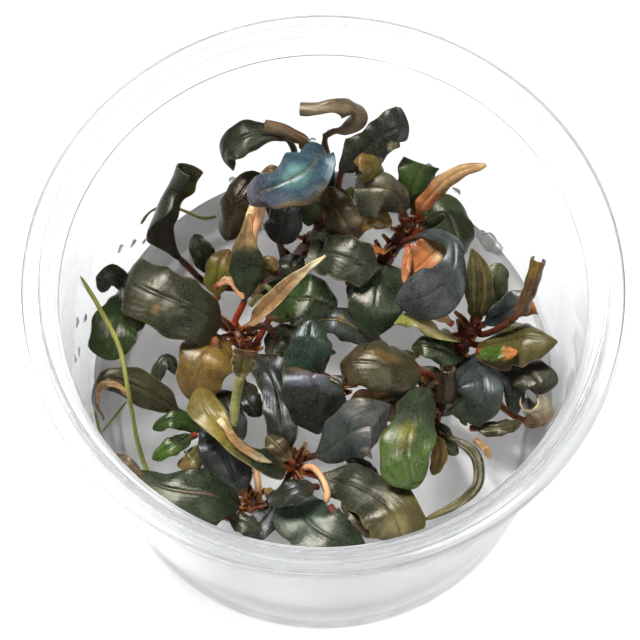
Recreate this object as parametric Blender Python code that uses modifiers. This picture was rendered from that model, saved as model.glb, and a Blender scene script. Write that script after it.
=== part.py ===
"""Bucephalandra plantlets on culture gel in a clear round cup.

The cup and the gel are turned shapes.  Nine plantlets stand on the gel, each a
short creeping stem with its own leaves.  A leaf is one loft along a hand-set
path: a round petiole that flattens into a cupped, wavy blade.

Units are metres.  The tables of paths are in millimetres, and MM turns them
into metres.  The origin is the centre of the cup's foot, with +Z up.
"""
import math

import bmesh
import bpy
import numpy as np
from mathutils import Vector

MM = 0.001

# Cup
RIM_RADIUS = 50.0
RIM_HEIGHT = 70.4
LEDGE_RADIUS = 43.8
LEDGE_HEIGHT = 63.9
FOOT_RADIUS = 38.9
WALL = 0.8
FLOOR_PANEL_RADIUS = 28.5
FLOOR_PANEL_RISE = 1.0
TURN_STEPS = 36

# Gel
GEL_TOP = 23.0
GEL_RADIUS_AT_TOP = 40.8
CONTACT_GAP = 0.3

# Plant
PETIOLE_RADIUS = 0.6
BLADE_THICKNESS = 0.5
TIP_HALF_WIDTH = 0.3
MARGIN_WAVES = 2.0
STEM_GAP = 0.5
ROOT_RADIUS = 0.4

# Shares of the blade's length: where it is flat, and where its foot and tip are rounded
FLAT_FROM = 0.2
FOOT_ROUNDING = 0.12
TIP_ROUNDING = 0.14
SWELL_POWER = 0.95
OUTLINE_RANGE = (0.05, 1.3)

# Fineness: points round a leaf's section or a rolled leaf's, steps and rings along a curve,
# and how near the turned shapes' points are joined
RING_POINTS = 8
ROLLED_RING_POINTS = 12
ROLLED_FROM = 150
CURVE_STEPS = 24
TANGENT_REACH = 0.01
STRAIGHT_BELOW = 0.01
MOST_BLADE_RINGS = 8
PETIOLE_RING = 0.5
STEM_RINGS = 6
ROOT_RINGS = 14
TUBE_ROUNDNESS = 2
JOIN_WITHIN = 0.05

UP = (0.0, 0.0, 1.0)

TONES = {
    "slate": ((0.030, 0.045, 0.040), 0.42),
    "blue": ((0.060, 0.095, 0.120), 0.35),
    "black": ((0.010, 0.015, 0.014), 0.40),
    "green": ((0.035, 0.085, 0.025), 0.40),
    "olive": ((0.110, 0.105, 0.045), 0.45),
    "gold": ((0.260, 0.180, 0.060), 0.45),
    "brown": ((0.110, 0.065, 0.040), 0.50),
    "peach": ((0.550, 0.230, 0.110), 0.50),
    "cream": ((0.620, 0.480, 0.260), 0.55),
    "lime": ((0.330, 0.400, 0.110), 0.45),
}


def leaf(tone, width, path, face=UP, tip_face=None, cup=-35, stalk=0.25, widest=0.42, outline=None,
         cut=False, wave=0.5, petiole=PETIOLE_RADIUS):
    """One leaf: path runs foot to tip, width is across the flattened blade.

    face is the way the upper side looks, cup the angle that the section bends
    through (edges down when negative), and outline the width's share from the
    blade's foot to its tip, where a pair is the shares left and right of the
    midrib; each can be one value or stops along the leaf.  Without an outline
    the blade is widest at the place widest.  stalk is the share of the path
    that is petiole, petiole its radius, and a cut tip isn't rounded.
    """
    faces = face if isinstance(face, list) else [face, tip_face or face]
    cups = cup if isinstance(cup, list) else [cup, cup]
    return {"tone": tone, "width": width, "path": path, "faces": faces, "cups": cups, "stalk": stalk,
            "widest": widest, "outline": outline, "cut": cut, "wave": wave, "petiole": petiole}


# Each plantlet: its stem's path and radius, then its leaves, all in millimetres.
PLANTLETS = {
    "north": {
        "stem": [(-12.5, 15.5, 24.9), (-8.5, 18, 26), (-5.5, 21, 27), (-1, 25.5, 29), (-0.5, 29, 32)],
        "radius": 1.3,
        "leaves": [
            leaf("slate", 11, [(-14, 16.5, 26), (-20, 16.8, 27), (-23.4, 18.4, 30.5), (-26.4, 20, 36),
                               (-27.8, 22, 41), (-27.4, 24.5, 45), (-26, 27.2, 48.3), (-24.6, 29.6, 51)],
                 face=[(0.2, -0.8, 0.5), (0.4, -0.7, 0.5), (0.8, -0.5, 0.2)],
                 cup=[20, 40, 60, 150, 230, 250],
                 stalk=0.4, outline=[0.1, (0.6, 0.35), (1.1, 0.5), (1.05, 0.6), 0.9, 0.9, 0.95],
                 cut=True, wave=0.2),
            leaf("slate", 6.4, [(-3.4, 29.3, 33), (-4.4, 32.8, 42), (-5.4, 34.6, 48), (-7.6, 35.2, 50.2),
                                (-11, 35.3, 51.2), (-14.4, 34.3, 51), (-17, 32.5, 49),
                                (-15.6, 30.8, 45.6)],
                 tip_face=(-0.7, -0.3, 0.6), cup=-60, stalk=0.52, outline=[0.15, 0.4, 0.9, 1, 0.8, 0.2]),
            leaf("peach", 5.2, [(-1.6, 32, 33.4), (-2.2, 33.2, 42), (-1.9, 34, 47.6), (-3.2, 34.8, 50.8),
                                (-6.6, 35.7, 52.6), (-9.9, 36.4, 53.4)],
                 face=(0, 0.3, 0.9), cup=-290, stalk=0.56, outline=[0.75, 0.95, 1, 1], cut=True, wave=0.0),
            leaf("brown", 4.6, [(1.4, 31.6, 33.4), (0.9, 33.4, 43), (0.2, 35.2, 48.3), (1.2, 35.9, 50.2),
                                (3.6, 35.8, 51.4), (5.2, 36.3, 53.6), (5.6, 37.1, 55.6), (4.2, 37.7, 57),
                                (1.8, 37.9, 57.3), (-1, 37.5, 56.9), (-4, 37.7, 56.4)],
                 cup=[-40, -130, -160, -110, -150], stalk=0.55,
                 outline=[0.35, 0.6, 0.95, 1, 0.7, 0.6, 0.7],
                 cut=True),
            leaf("blue", 9.8, [(1.8, 28.4, 33.2), (1.6, 31.4, 42), (0.4, 32.6, 46.8), (-1.1, 31.8, 49.6),
                               (-1.5, 29.6, 51.4), (-4, 27, 52.2), (-7.4, 25.4, 51.7),
                               (-10.6, 24.6, 50.2), (-12.6, 23.6, 47)],
                 face=[(0, 0.2, 1), (0, 0.2, 1), (0, -0.2, 1), (0, -0.3, 1), (-0.6, -0.6, 0.5)],
                 cup=[60, 30, -30, -50, -70], stalk=0.45,
                 outline=[0.5, 0.55, (0.95, 0.85), (1.05, 0.85), (0.9, 0.5), 0.65, 0.5], wave=0.9),
            leaf("brown", 6.4, [(-7, 20.5, 29), (-8.6, 25, 36), (-11, 28.8, 42), (-12.9, 28.9, 44),
                                (-14.8, 26.3, 43.2), (-16.1, 23.6, 40.8), (-16.9, 21.2, 37)],
                 tip_face=(-0.4, -0.6, 0.5), cup=-80, stalk=0.5, outline=[0.3, 0.7, 0.95, 1, 0.9, 0.65]),
            leaf("black", 6.8, [(-2.5, 27, 32), (-3.4, 28.4, 37.5), (-4.8, 27.9, 42), (-6.1, 25.6, 42.9),
                                (-6.9, 22.7, 41), (-7.6, 20.2, 37.5)],
                 tip_face=(-0.2, -0.8, 0.5), cup=[-50, -90, -60], stalk=0.42,
                 outline=[0.35, 0.8, (0.95, 0.9), 1, (0.9, 1)], wave=0.3),
            leaf("black", 7.8, [(0.8, 27, 32), (2.3, 28.7, 39), (3, 30, 45.5), (4.2, 30.5, 48.2),
                                (6.9, 32, 50.6), (9.6, 33.6, 52.4), (12.5, 35.2, 53.2), (14.6, 36.6, 52)],
                 face=(0.1, -0.6, 0.8), cup=[-70, -60, -60], stalk=0.5,
                 outline=[0.15, (0.5, 0.6), (0.9, 1), (0.75, 0.95), (0.8, 0.9), (1, 0.9), 0.75], cut=True,
                 wave=0.4),
            leaf("brown", 7.6, [(0.9, 25.3, 30.5), (0.9, 26.4, 36.5), (1.4, 26.2, 40.6), (2.7, 24.1, 42),
                                (4.2, 21.9, 41), (5.4, 20.2, 38.4)],
                 tip_face=(0, -0.7, 0.6), cup=[-60, -80, -90], stalk=0.42,
                 outline=[0.5, 0.9, (1, 0.95), (0.95, 1.05), 0.85]),
        ],
    },
    "north_east": {
        "stem": [(8.5, 18.5, 24.6), (11, 20.5, 30), (14, 23, 35), (15.7, 25, 38)],
        "radius": 1.3,
        "leaves": [
            leaf("brown", 9.4, [(13.8, 24.6, 38.2), (13.7, 25, 42), (13, 25.8, 45), (11.4, 26.3, 47),
                                (8.8, 26.6, 47.4), (5.6, 26.8, 46)],
                 face=(0, -0.3, 0.95), cup=[-50, -80, -80, -70], stalk=0.25,
                 outline=[(0.8, 0.3), (1.2, 0.45), (1.25, 0.6), (1.25, 0.8), (1.1, 0.95)], cut=True,
                 wave=0.3),
            leaf("green", 6.4, [(16, 26.8, 39.6), (15.1, 27.2, 42.4), (15.9, 29, 45), (16.9, 31.6, 46.8)],
                 face=(0, -0.5, 0.8), cup=[-10, -30, -60], stalk=0.06, outline=[0.1, 0.4, 0.8, 1.05, 1.1],
                 cut=True),
            leaf("peach", 4.2, [(17.3, 24.6, 39.5), (16.9, 24.4, 43.6), (18.5, 25.3, 47),
                                (21, 26.6, 50.6), (24.2, 27.7, 52.6), (28, 28.4, 53.2)],
                 face=(0, -0.3, 0.9), cup=[-100, -150, -160, -120], stalk=0.2,
                 outline=[0.5, 0.8, 1, 0.9, 0.6, 0.35], wave=0.1),
            leaf("green", 8.6, [(16.5, 22.6, 36.5), (19, 24.3, 39.6), (21.6, 24.3, 40.9),
                                (23.2, 21, 39.4), (23.6, 17.8, 36.4)],
                 face=(0.1, 0.1, 0.95), tip_face=(0.5, -0.3, 0.8), cup=-40, stalk=0.15,
                 outline=[0.4, 0.85, 1, (0.9, 1), (0.7, 1)]),
            leaf("blue", 8.8, [(14.2, 20.6, 36), (16.6, 20.2, 41), (19.8, 19.2, 44.5), (22.3, 16.8, 46.5),
                               (22.6, 13.4, 46.8), (21.5, 10.6, 45.4), (19, 9, 43), (15.6, 8.5, 40.8),
                               (12.8, 8.7, 38.8)],
                 face=[(0, 0, 1), (0.3, 0, 1), (0, -0.1, 1), (-0.3, -0.6, 0.8)],
                 cup=[-60, -70, -60, -40, -50],
                 stalk=0.22, outline=[0.3, 0.3, 0.34, 0.42, 0.8, 1.05, 1, 0.65], wave=0.4),
            leaf("slate", 10.0, [(10.7, 18.3, 31), (10.6, 16.4, 35), (9.5, 12.5, 37), (9, 8, 36.5),
                                 (9, 4.5, 33.4)],
                 cup=-40, stalk=0.12, outline=[0.5, 0.95, (1, 0.9), (1, 0.9), 0.5]),
            leaf("slate", 8.0, [(8.3, 19.2, 31), (3.6, 19, 35), (-0.4, 17.9, 38.8), (1.8, 16.9, 41),
                                (5.4, 15.6, 41.2), (9.2, 14.9, 39.4)],
                 face=(0, -0.2, 1), cup=-30, stalk=0.42, outline=[0.3, 0.85, 1, 1, 0.95]),
        ],
    },
    "east": {
        "stem": [(21.5, 1.5, 24.6), (23.5, 3.5, 29), (26.5, 6.5, 33)],
        "radius": 1.4,
        "leaves": [
            leaf("lime", 3.8, [(22, 5.2, 31), (22.4, 3.8, 35), (20, 3.6, 37), (17.4, 5.2, 37.6),
                               (15, 6.4, 37), (12.4, 6.2, 35.2)],
                 face=[(0.3, -0.5, 0.8), (0, 0.3, 1), (0, -0.3, 1)], cup=[60, 20, -60, -60], stalk=0.2,
                 outline=[0.7, 1, 0.6, 0.75, 0.85, 0.2]),
            leaf("olive", 4.8, [(26, 7.6, 35), (26.8, 8, 39), (26.9, 9.6, 43.6), (26.5, 11.9, 47),
                                (25.4, 14.4, 49.4)],
                 face=(0, -0.9, 0.4), cup=[40, -20, -30], stalk=0.08,
                 outline=[0.3, 0.7, 1, 1, 0.75, 0.25],
                 wave=0.2),
            leaf("green", 5.2, [(27.6, 8.7, 33.5), (28.8, 10.4, 37.5), (29.9, 12.4, 40.5),
                                (30.6, 15, 41.6)],
                 face=(0, -0.7, 0.7), cup=-30, stalk=0.12, outline=[0.3, 0.8, 1, 0.95, 0.6]),
            leaf("blue", 5.6, [(28.7, 6.8, 34), (31.3, 7.4, 36.8), (33.7, 8.2, 39), (36.2, 8.8, 40)],
                 face=(-0.2, -0.3, 0.9), cup=[60, -30, -60], stalk=0.08,
                 outline=[(0.2, 0.2), (0.7, 0.5), (0.95, 0.7), (1, 0.8), (0.8, 1)], cut=True),
            leaf("brown", 5.6, [(27.8, 4.9, 33), (30.2, 4, 38.4), (33.2, 4.8, 42.6), (34.9, 6.9, 46),
                                (35.9, 9.2, 48.6), (36.6, 11.4, 50.8)],
                 face=(0, -0.3, 0.9), cup=-290, stalk=0.55, outline=[0.5, 0.9, 1, 1], cut=True, wave=0.0),
            leaf("olive", 9.0, [(27, 3.5, 31), (29, 2.2, 35.4), (32, 1.9, 38.6), (35.2, 1.5, 41),
                                (38, 0.9, 41.6), (40.2, 0.8, 40.4)],
                 face=(0, 0.1, 1), cup=[-60, -90, -120, -90], stalk=0.15,
                 outline=[0.3, (0.8, 0.9), (1.3, 1.1), (0.95, 1.2), (0.5, 0.9), 0.25]),
            leaf("green", 6.6, [(25.7, 1.8, 29), (30, -0.4, 31.6), (33.4, -2, 35), (36, -3.9, 37.2),
                                (37.4, -5.8, 37.8), (37.6, -7.2, 36.4)],
                 cup=-50, stalk=0.35, outline=[0.4, 0.8, 1, 1.05, 1.05, 0.9]),
            leaf("blue", 8.6, [(24, 0.6, 29.5), (26.2, -1.4, 33.4), (27.7, -4.6, 35.7), (27.6, -8, 35),
                               (25.9, -11.4, 32.2)],
                 cup=[-40, -50, -40], stalk=0.1,
                 outline=[(0.85, 0.6), (1, 0.9), (0.9, 1.05), (0.75, 1.15), (0.3, 1)], cut=True),
            leaf("cream", 9.8, [(27.5, -2, 26.5), (32.5, -6.8, 26), (37.2, -9.4, 27),
                                (38.4, -9.6, 29.2), (37.9, -9.5, 31.2), (37, -9.4, 33),
                                (35.9, -9.4, 34.8)],
                 face=(0.1, -1, 0.3), cup=-290, stalk=0.6, outline=[0.8, 0.95, 1, 0.9], cut=True,
                 wave=0.0),
        ],
    },
    "south_east": {
        "stem": [(19.5, -9.5, 24.6), (19.2, -7.2, 28), (18.7, -4.2, 31.5)],
        "radius": 1.3,
        "leaves": [
            leaf("brown", 8.0, [(21.8, -8.6, 29.5), (21.2, -7.8, 33), (21.2, -6.2, 36.4),
                                (21.1, -4.4, 39.5)],
                 face=(0.2, 0.9, 0.2), cup=[200, 280, 300], stalk=0.05,
                 outline=[0.6, 1, 1.05, 0.85, 0.75], cut=True, wave=0.0),
            leaf("lime", 2.0, [(20.5, -11, 27.5), (21, -13.5, 33), (25.3, -17.2, 36), (26.6, -21.1, 37),
                               (26, -24.4, 37), (22.5, -27.2, 36), (17.5, -29.2, 34)],
                 cup=-60, stalk=0.3, outline=[0.6, 1, 1, 0.8, 0.5], wave=0.2),
            leaf("green", 9.8, [(18.3, -5.5, 31), (17.9, -6.4, 36), (16.8, -9.4, 40), (15.2, -14, 42.4),
                                (14.3, -18.6, 43.2), (14.4, -22.4, 42.2), (15.6, -25.6, 40)],
                 cup=[-20, -50, -30, -30], stalk=0.15,
                 outline=[0.1, (0.35, 0.55), (0.7, 0.75), (0.9, 0.65), (0.95, 0.95), (0.75, 1), 0.6],
                 wave=0.35),
            leaf("brown", 9.6, [(19.5, -2.4, 33), (17.2, -3.2, 36), (14.6, -3.7, 38.8), (11.6, -3.8, 41),
                                 (8, -3.4, 41.8), (4.9, -2.9, 40.6), (3, -2.3, 38.2)],
                 cup=[-50, -70, -80, -60], stalk=0.25,
                 outline=[(0.4, 0.4), (0.75, 0.9), (0.95, 1), 1, 0.9, 0.6], wave=0.25),
            leaf("olive", 7.0, [(18.2, -6.2, 29), (15.6, -6.8, 33), (12, -8.2, 35.4), (8, -8.8, 35.8),
                                (4.6, -8, 34.2)],
                 cup=-45, stalk=0.2, outline=[0.4, 0.9, 1, (0.7, 1), (0.5, 0.9)]),
        ],
    },
    "centre": {
        "stem": [(2, -7, 24.6), (2.5, -5, 28), (2.5, -4, 31)],
        "radius": 1.2,
        "leaves": [
            leaf("blue", 9.6, [(1.4, -2.2, 31), (-0.8, -2.4, 34), (-2.2, -1.5, 37), (-2.2, 1.5, 39.6),
                               (-1.9, 5, 40)],
                 face=(0, -0.4, 0.9), cup=[-40, -50, -70], stalk=0.25, outline=[0.5, 0.95, 0.9, 0.7, 0.5],
                 wave=0.2),
            leaf("blue", 10.6, [(1, -6.6, 31), (-0.3, -5.2, 35), (-1.4, -4.7, 39), (-1.9, -5.3, 40.8),
                                (-1.7, -7.3, 40.2), (-1.4, -9.7, 37.8), (-1.1, -11.7, 35),
                                (-0.9, -13.1, 32.5)],
                 face=[(0, 0.8, 0.6), (0, 0.6, 0.8), (0, 0, 1), (0, -0.4, 1)], cup=[-10, -15, -30],
                 stalk=0.2, outline=[0.5, 0.8, 1, 1.05, 1, 0.75, 0.35], wave=0.15),
        ],
    },
    "south": {
        "stem": [(-5, -15, 24.6), (-5.2, -17, 28), (-4.5, -18.8, 31)],
        "radius": 1.3,
        "leaves": [
            leaf("slate", 10.4, [(-3.2, -17, 31.5), (0.2, -17.4, 35), (4, -15.8, 39.3), (6.8, -15, 41),
                                 (8.8, -14.9, 41), (9.8, -15.1, 38.4)],
                 face=(0.1, -0.2, 1), cup=[-60, -40, -30], stalk=0.2,
                 outline=[0.15, 0.55, 0.82, 0.98, 1, 0.9], cut=True, wave=0.15),
            leaf("olive", 10.6, [(-2.7, -19.8, 31), (1.5, -22, 34), (5.4, -23.7, 36.2),
                                 (9.2, -26.5, 38.2), (11.7, -29.5, 39), (13, -32.4, 37.6),
                                 (13.3, -33.8, 35.6)],
                 cup=[-40, -50, -40], stalk=0.15, outline=[(0.2, 0.3), (0.7, 0.6), 0.8, 0.95, 1, 0.9],
                 wave=0.5),
            leaf("slate", 10.4, [(-4.6, -21.2, 30.5), (-4.4, -26.2, 32.4), (-1.4, -30.6, 34.4),
                                 (3, -33.2, 34.6), (7.2, -34.4, 33)],
                 cup=-40, stalk=0.1, outline=[0.3, 0.9, 1, 0.95, 0.5], wave=0.4),
            leaf("gold", 5.8, [(-6.3, -19.2, 32), (-8.6, -20.2, 37), (-11.8, -20.2, 40.6),
                               (-14.7, -19, 42.6), (-17.3, -16.2, 43.5), (-19.9, -12.6, 43.5),
                               (-21.2, -8.2, 41.6)],
                 cup=[-30, -40, 50, 80, 30, -20, -40], stalk=0.06,
                 outline=[0.4, 0.9, (0.95, 0.85), (0.65, 0.5), (0.6, 0.5), 0.85, 1, 0.85], wave=0.15),
            leaf("black", 5.0, [(-6.5, -20.3, 29.5), (-7.4, -24, 31), (-10.2, -28.8, 31),
                                (-13.6, -31.4, 30)],
                 cup=-40, stalk=0.3, widest=0.5),
        ],
    },
    "south_west": {
        "stem": [(-12, -22.5, 24.6), (-12, -24, 27.5), (-12.3, -25.5, 30)],
        "radius": 1.3,
        "leaves": [
            leaf("slate", 9.2, [(-14.2, -26, 30), (-15.6, -25.9, 34.6), (-19, -26.2, 38.4),
                                (-23.8, -25.9, 39.4), (-28.2, -24.4, 38.4), (-31.6, -21.3, 36.2)],
                 cup=[-20, -40, -40], stalk=0.08, outline=[0.15, 0.6, 0.95, 1, 0.85, 0.55, 0.3],
                 wave=0.25),
            leaf("blue", 8.4, [(-13.5, -23.7, 30.5), (-15.5, -21, 34), (-17.8, -16.8, 36.5),
                               (-19.6, -11.8, 36)],
                 cup=-40, stalk=0.12, outline=[0.5, 0.95, 1, 0.8, 0.5]),
        ],
    },
    "middle_west": {
        "stem": [(-19, -11, 24.6), (-20, -9.5, 27), (-21, -7.5, 28)],
        "radius": 1.2,
        "leaves": [
            leaf("brown", 6.2, [(-22.5, -9.3, 28.8), (-24.8, -9.2, 32.6), (-28.6, -8, 37),
                                (-33, -6.8, 40.2), (-37, -6.2, 41), (-39.2, -7.4, 38.8),
                                (-39.1, -9.6, 35.6), (-37.9, -10.9, 33.4)],
                 tip_face=(-0.8, -0.2, 0.4), cup=[-60, -70, -50], stalk=0.2,
                 outline=[0.3, 0.75, 1, 1, 0.7, 0.4, 0.35, 0.3], wave=0.25),
            leaf("cream", 4.2, [(-17.6, -13.2, 27.5), (-15.9, -12, 31), (-15, -8, 36), (-14, -4.8, 40.6),
                                (-13.2, -2, 43.4)],
                 face=(0.2, -0.3, 0.9), cup=[40, -50], stalk=0.78, outline=[0.4, 0.85, 1, 1], cut=True,
                 wave=0.1, petiole=0.85),
        ],
    },
    "west": {
        "stem": [(-12, 2.5, 24.6), (-13.5, 4.5, 28), (-15.5, 6.5, 31)],
        "radius": 1.4,
        "leaves": [
            leaf("gold", 10.0, [(-16.3, 4.3, 30.5), (-17.6, 3.2, 33.4), (-19.2, 1.3, 37),
                                (-20.5, -0.9, 38.3), (-21.4, -3.4, 37.4), (-21.9, -5.8, 35.2),
                                (-22.1, -7.5, 32.8)],
                 cup=[-30, -40, -40, -50], stalk=0.12,
                 outline=[(0.5, 0.5), (0.95, 0.9), (1.2, 0.95), (1.1, 0.85), (0.85, 0.75), (0.5, 0.5)],
                 wave=0.4),
            leaf("slate", 12.0, [(-17.6, 6.7, 32.5), (-18.8, 5.9, 37.6), (-20.6, 5.6, 41.6),
                                 (-25, 6.8, 44), (-29.5, 8.7, 44.2), (-33, 11, 43), (-34.4, 12.1, 40.4)],
                 face=(0.05, -0.2, 1), cup=[-30, -50, -40, -50], stalk=0.15,
                 outline=[(0.4, 0.4), (0.9, 0.7), (1, 0.8), (1, 0.85), (0.9, 0.85), (0.7, 0.75)],
                 cut=True),
            leaf("green", 8.2, [(-17, 8.4, 29), (-25, 10.8, 32.6), (-31, 10.2, 37.2), (-34.6, 6.2, 39.8),
                                (-36.3, 2, 40.8), (-36.9, -2, 39)],
                 cup=-30, stalk=0.5, outline=[0.3, 0.85, 1, 1, 0.8]),
            leaf("green", 6.0, [(-15.3, 8.6, 32.5), (-13.7, 10.2, 36), (-13.3, 12.6, 39.4),
                                (-13.3, 15.6, 42.4), (-13.3, 18.6, 45), (-12.6, 22, 46.8)],
                 face=(0, -0.7, 0.7), cup=[-20, -30, 30, 90], stalk=0.26,
                 outline=[0.1, 0.7, 1, 0.85, 0.4, 0.25], wave=0.1),
            leaf("peach", 3.4, [(-13.3, 7, 31.5), (-11.9, 7, 35), (-8.8, 8.8, 39.4), (-5.6, 11, 42.2),
                                (-2.6, 13.2, 43.8), (0.4, 15.3, 44)],
                 cup=[120, 100, 60, 40], stalk=0.1, outline=[0.35, 0.8, 1, 0.8, 0.45, 0.25], wave=0.15),
            leaf("black", 6.2, [(-12.2, 2.6, 30), (-10.8, 0, 33), (-8.7, -3.6, 34.8), (-7.4, -8.4, 34.6),
                                (-7.1, -12.8, 33.8), (-8.1, -16.2, 31.4)],
                 cup=-40, stalk=0.15, outline=[0.4, (1, 0.9), (0.8, 0.9), (0.95, 1), 0.95, 0.6], wave=0.7),
            leaf("green", 10.5, [(-11.4, 5.6, 28), (-7.5, 11.2, 32), (-2.6, 11, 35), (2.4, 10.5, 33)],
                 cup=-35, stalk=0.3, widest=0.5),
        ],
    },
}

# The long green root stalk lies over the western leaves and down to the gel.
ROOT_STALK = [(-41, 7.3, 54.5), (-37.5, 2.5, 50), (-34.5, -3, 47), (-33, -10, 41), (-32, -14, 29),
              (-30, -19, 24.2)]


def cup_profile():
    """The cup's section: from the floor's centre up inside, over the rim, down outside."""
    panel = FLOOR_PANEL_RADIUS
    rise = FLOOR_PANEL_RISE
    return [
        (0, rise + WALL), (panel, rise + WALL), (panel + 1, WALL), (FOOT_RADIUS - 2.2, WALL),
        (FOOT_RADIUS - 0.9, 2.0), (GEL_RADIUS_AT_TOP, GEL_TOP), (LEDGE_RADIUS, LEDGE_HEIGHT),
        (46.0, 69.6), (46.6, RIM_HEIGHT), (47.3, RIM_HEIGHT - 0.4), (48.6, RIM_HEIGHT - 0.5),
        (RIM_RADIUS - 0.4, RIM_HEIGHT - 1.1), (RIM_RADIUS, RIM_HEIGHT - 1.5),
        (RIM_RADIUS, 67.7), (RIM_RADIUS - 0.7, 67.7), (RIM_RADIUS - 0.8, 68.5), (47.3, 69.0),
        (46.7, 68.5), (LEDGE_RADIUS + WALL, LEDGE_HEIGHT - 0.3), (GEL_RADIUS_AT_TOP + WALL, GEL_TOP),
        (FOOT_RADIUS, 1.6), (FOOT_RADIUS - 0.5, 0.4), (FOOT_RADIUS - 1.6, 0), (panel + 1.6, 0),
        (panel + 0.6, rise), (0, rise),
    ]


def gel_profile():
    """The gel's section: from the top's centre out to the wall, down and back to the axis."""
    panel = FLOOR_PANEL_RADIUS
    rise = FLOOR_PANEL_RISE
    gap = CONTACT_GAP
    return [
        (0, GEL_TOP), (GEL_RADIUS_AT_TOP - 1.6, GEL_TOP), (GEL_RADIUS_AT_TOP - 0.4, GEL_TOP + 0.3),
        (FOOT_RADIUS - 1.2 - gap, 2.0 + gap), (FOOT_RADIUS - 2.3 - gap, WALL + gap),
        (panel + 1.2, WALL + gap), (panel, rise + WALL + gap), (0, rise + WALL + gap),
    ]


def make_material(name, colour, roughness, transmission=0.0):
    material = bpy.data.materials.new(name)
    material.use_nodes = True
    shader = material.node_tree.nodes["Principled BSDF"]
    shader.inputs["Base Color"].default_value = (*colour, 1.0)
    shader.inputs["Roughness"].default_value = roughness
    shader.inputs["Metallic"].default_value = 0.0
    shader.inputs["Transmission Weight"].default_value = transmission
    material.diffuse_color = (*colour, 1.0)
    return material


def add_object(name, data, material):
    piece = bpy.data.objects.new(name, data)
    piece.data.materials.append(material)
    parts_collection.objects.link(piece)
    return piece


def turned(name, profile, material):
    """A closed solid of revolution about Z from a section in millimetres."""
    mesh = bpy.data.meshes.new(name)
    points = [(radius * MM, 0, height * MM) for radius, height in profile]
    mesh.from_pydata(points, [(i, i + 1) for i in range(len(points) - 1)], [])
    piece = add_object(name, mesh, material)
    screw = piece.modifiers.new("turn", "SCREW")
    screw.axis = "Z"
    screw.angle = 2 * math.pi
    screw.steps = TURN_STEPS
    screw.render_steps = TURN_STEPS
    screw.use_merge_vertices = True
    screw.merge_threshold = JOIN_WITHIN * MM
    screw.use_smooth_shade = True
    return piece


def catmull(stops, places):
    """A Catmull-Rom curve through stops at even numbers, read at places from 0 to 1."""
    stops = np.array(stops, dtype=float)
    padded = np.concatenate([[2 * stops[0] - stops[1]], stops, [2 * stops[-1] - stops[-2]]])
    spot = np.clip(places, 0, 1) * (len(stops) - 1)
    start = np.minimum(spot.astype(int), len(stops) - 2)
    step = spot - start
    if stops.ndim > 1:
        step = step[:, None]
    before, first, second, after = (padded[start + shift] for shift in range(4))
    return 0.5 * (2 * first + (second - before) * step
                  + (2 * before - 5 * first + 4 * second - after) * step ** 2
                  + (3 * first - before - 3 * second + after) * step ** 3)


def smooth_path(points, shares):
    """Points at the given shares of the length of a smooth curve through the points."""
    fine = catmull(points, np.linspace(0, 1, CURVE_STEPS * (len(points) - 1) + 1))
    along = np.concatenate([[0], np.cumsum(np.linalg.norm(np.diff(fine, axis=0), axis=1))])
    wanted = np.asarray(shares) * along[-1]
    return np.stack([np.interp(wanted, along, fine[:, axis]) for axis in range(3)], axis=1)


def unit(vector):
    return vector / np.linalg.norm(vector)


def leaf_stations(spec):
    """Places of the rings along the path, from 0 at the foot to 1 at the tip, closer near both ends."""
    blade_rings = min(len(spec["path"]) + 3, MOST_BLADE_RINGS)
    stalk = spec["stalk"]
    blade = (1 - np.cos(np.linspace(0, math.pi, blade_rings))) / 2
    return np.concatenate([[0, stalk * PETIOLE_RING], stalk + (1 - stalk) * blade])


def blade_outline(spec, blade):
    """The shares of the full width left and right of the midrib at places along the blade."""
    if not spec["outline"]:
        widest = spec["widest"]
        share = (blade / widest) ** (SWELL_POWER * widest)
        share *= ((1 - blade) / (1 - widest)) ** (SWELL_POWER * (1 - widest))
        return np.stack([share, share], axis=1)
    stops = np.array([stop if type(stop) is tuple else (stop, stop) for stop in spec["outline"]], float)
    evenly = np.linspace(0, 1, len(stops))
    straight = np.stack([np.interp(blade, evenly, side) for side in stops.T], axis=1)
    shares = np.clip((straight + catmull(stops, blade)) / 2, *OUTLINE_RANGE)
    ends = np.sqrt(np.clip(blade / FOOT_ROUNDING, 0, 1))
    if not spec["cut"]:
        into_tip = np.clip((blade - 1 + TIP_ROUNDING) / TIP_ROUNDING, 0, 1)
        ends *= np.sqrt(1 - into_tip ** 2)
    return shares * ends[:, None]


def leaf_rings(spec, path):
    """The sections of a leaf: a round petiole that flattens into a thin cupped blade."""
    places = leaf_stations(spec)
    centres = smooth_path(path, places)
    ahead = smooth_path(path, np.clip(places + TANGENT_REACH, 0, 1))
    behind = smooth_path(path, np.clip(places - TANGENT_REACH, 0, 1))
    blades = np.clip((places - spec["stalk"]) / (1 - spec["stalk"]), 0, 1)
    faces = catmull(spec["faces"], places)
    swells = blade_outline(spec, blades)
    bends = np.radians(catmull(spec["cups"], blades)) / 2
    rolled = max(abs(angle) for angle in spec["cups"]) > ROLLED_FROM
    count = ROLLED_RING_POINTS if rolled else RING_POINTS
    rings = []
    for index, centre in enumerate(centres):
        tangent = unit(ahead[index] - behind[index])
        normal = unit(faces[index] - tangent * faces[index].dot(tangent))
        side = np.cross(tangent, normal)
        flatten = min(1.0, blades[index] / FLAT_FROM)
        least = max(spec["petiole"] * (1 - flatten), TIP_HALF_WIDTH)
        half_widths = np.maximum(least, spec["width"] / 2 * swells[index])
        half_thickness = spec["petiole"] + (BLADE_THICKNESS / 2 - spec["petiole"]) * flatten
        ripple = spec["wave"] * swells[index].mean()
        points = section(count, half_widths, half_thickness, bends[index] * flatten, ripple, blades[index])
        rings.append([centre + side * sideways + normal * raised for sideways, raised in points])
    return rings


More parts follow.
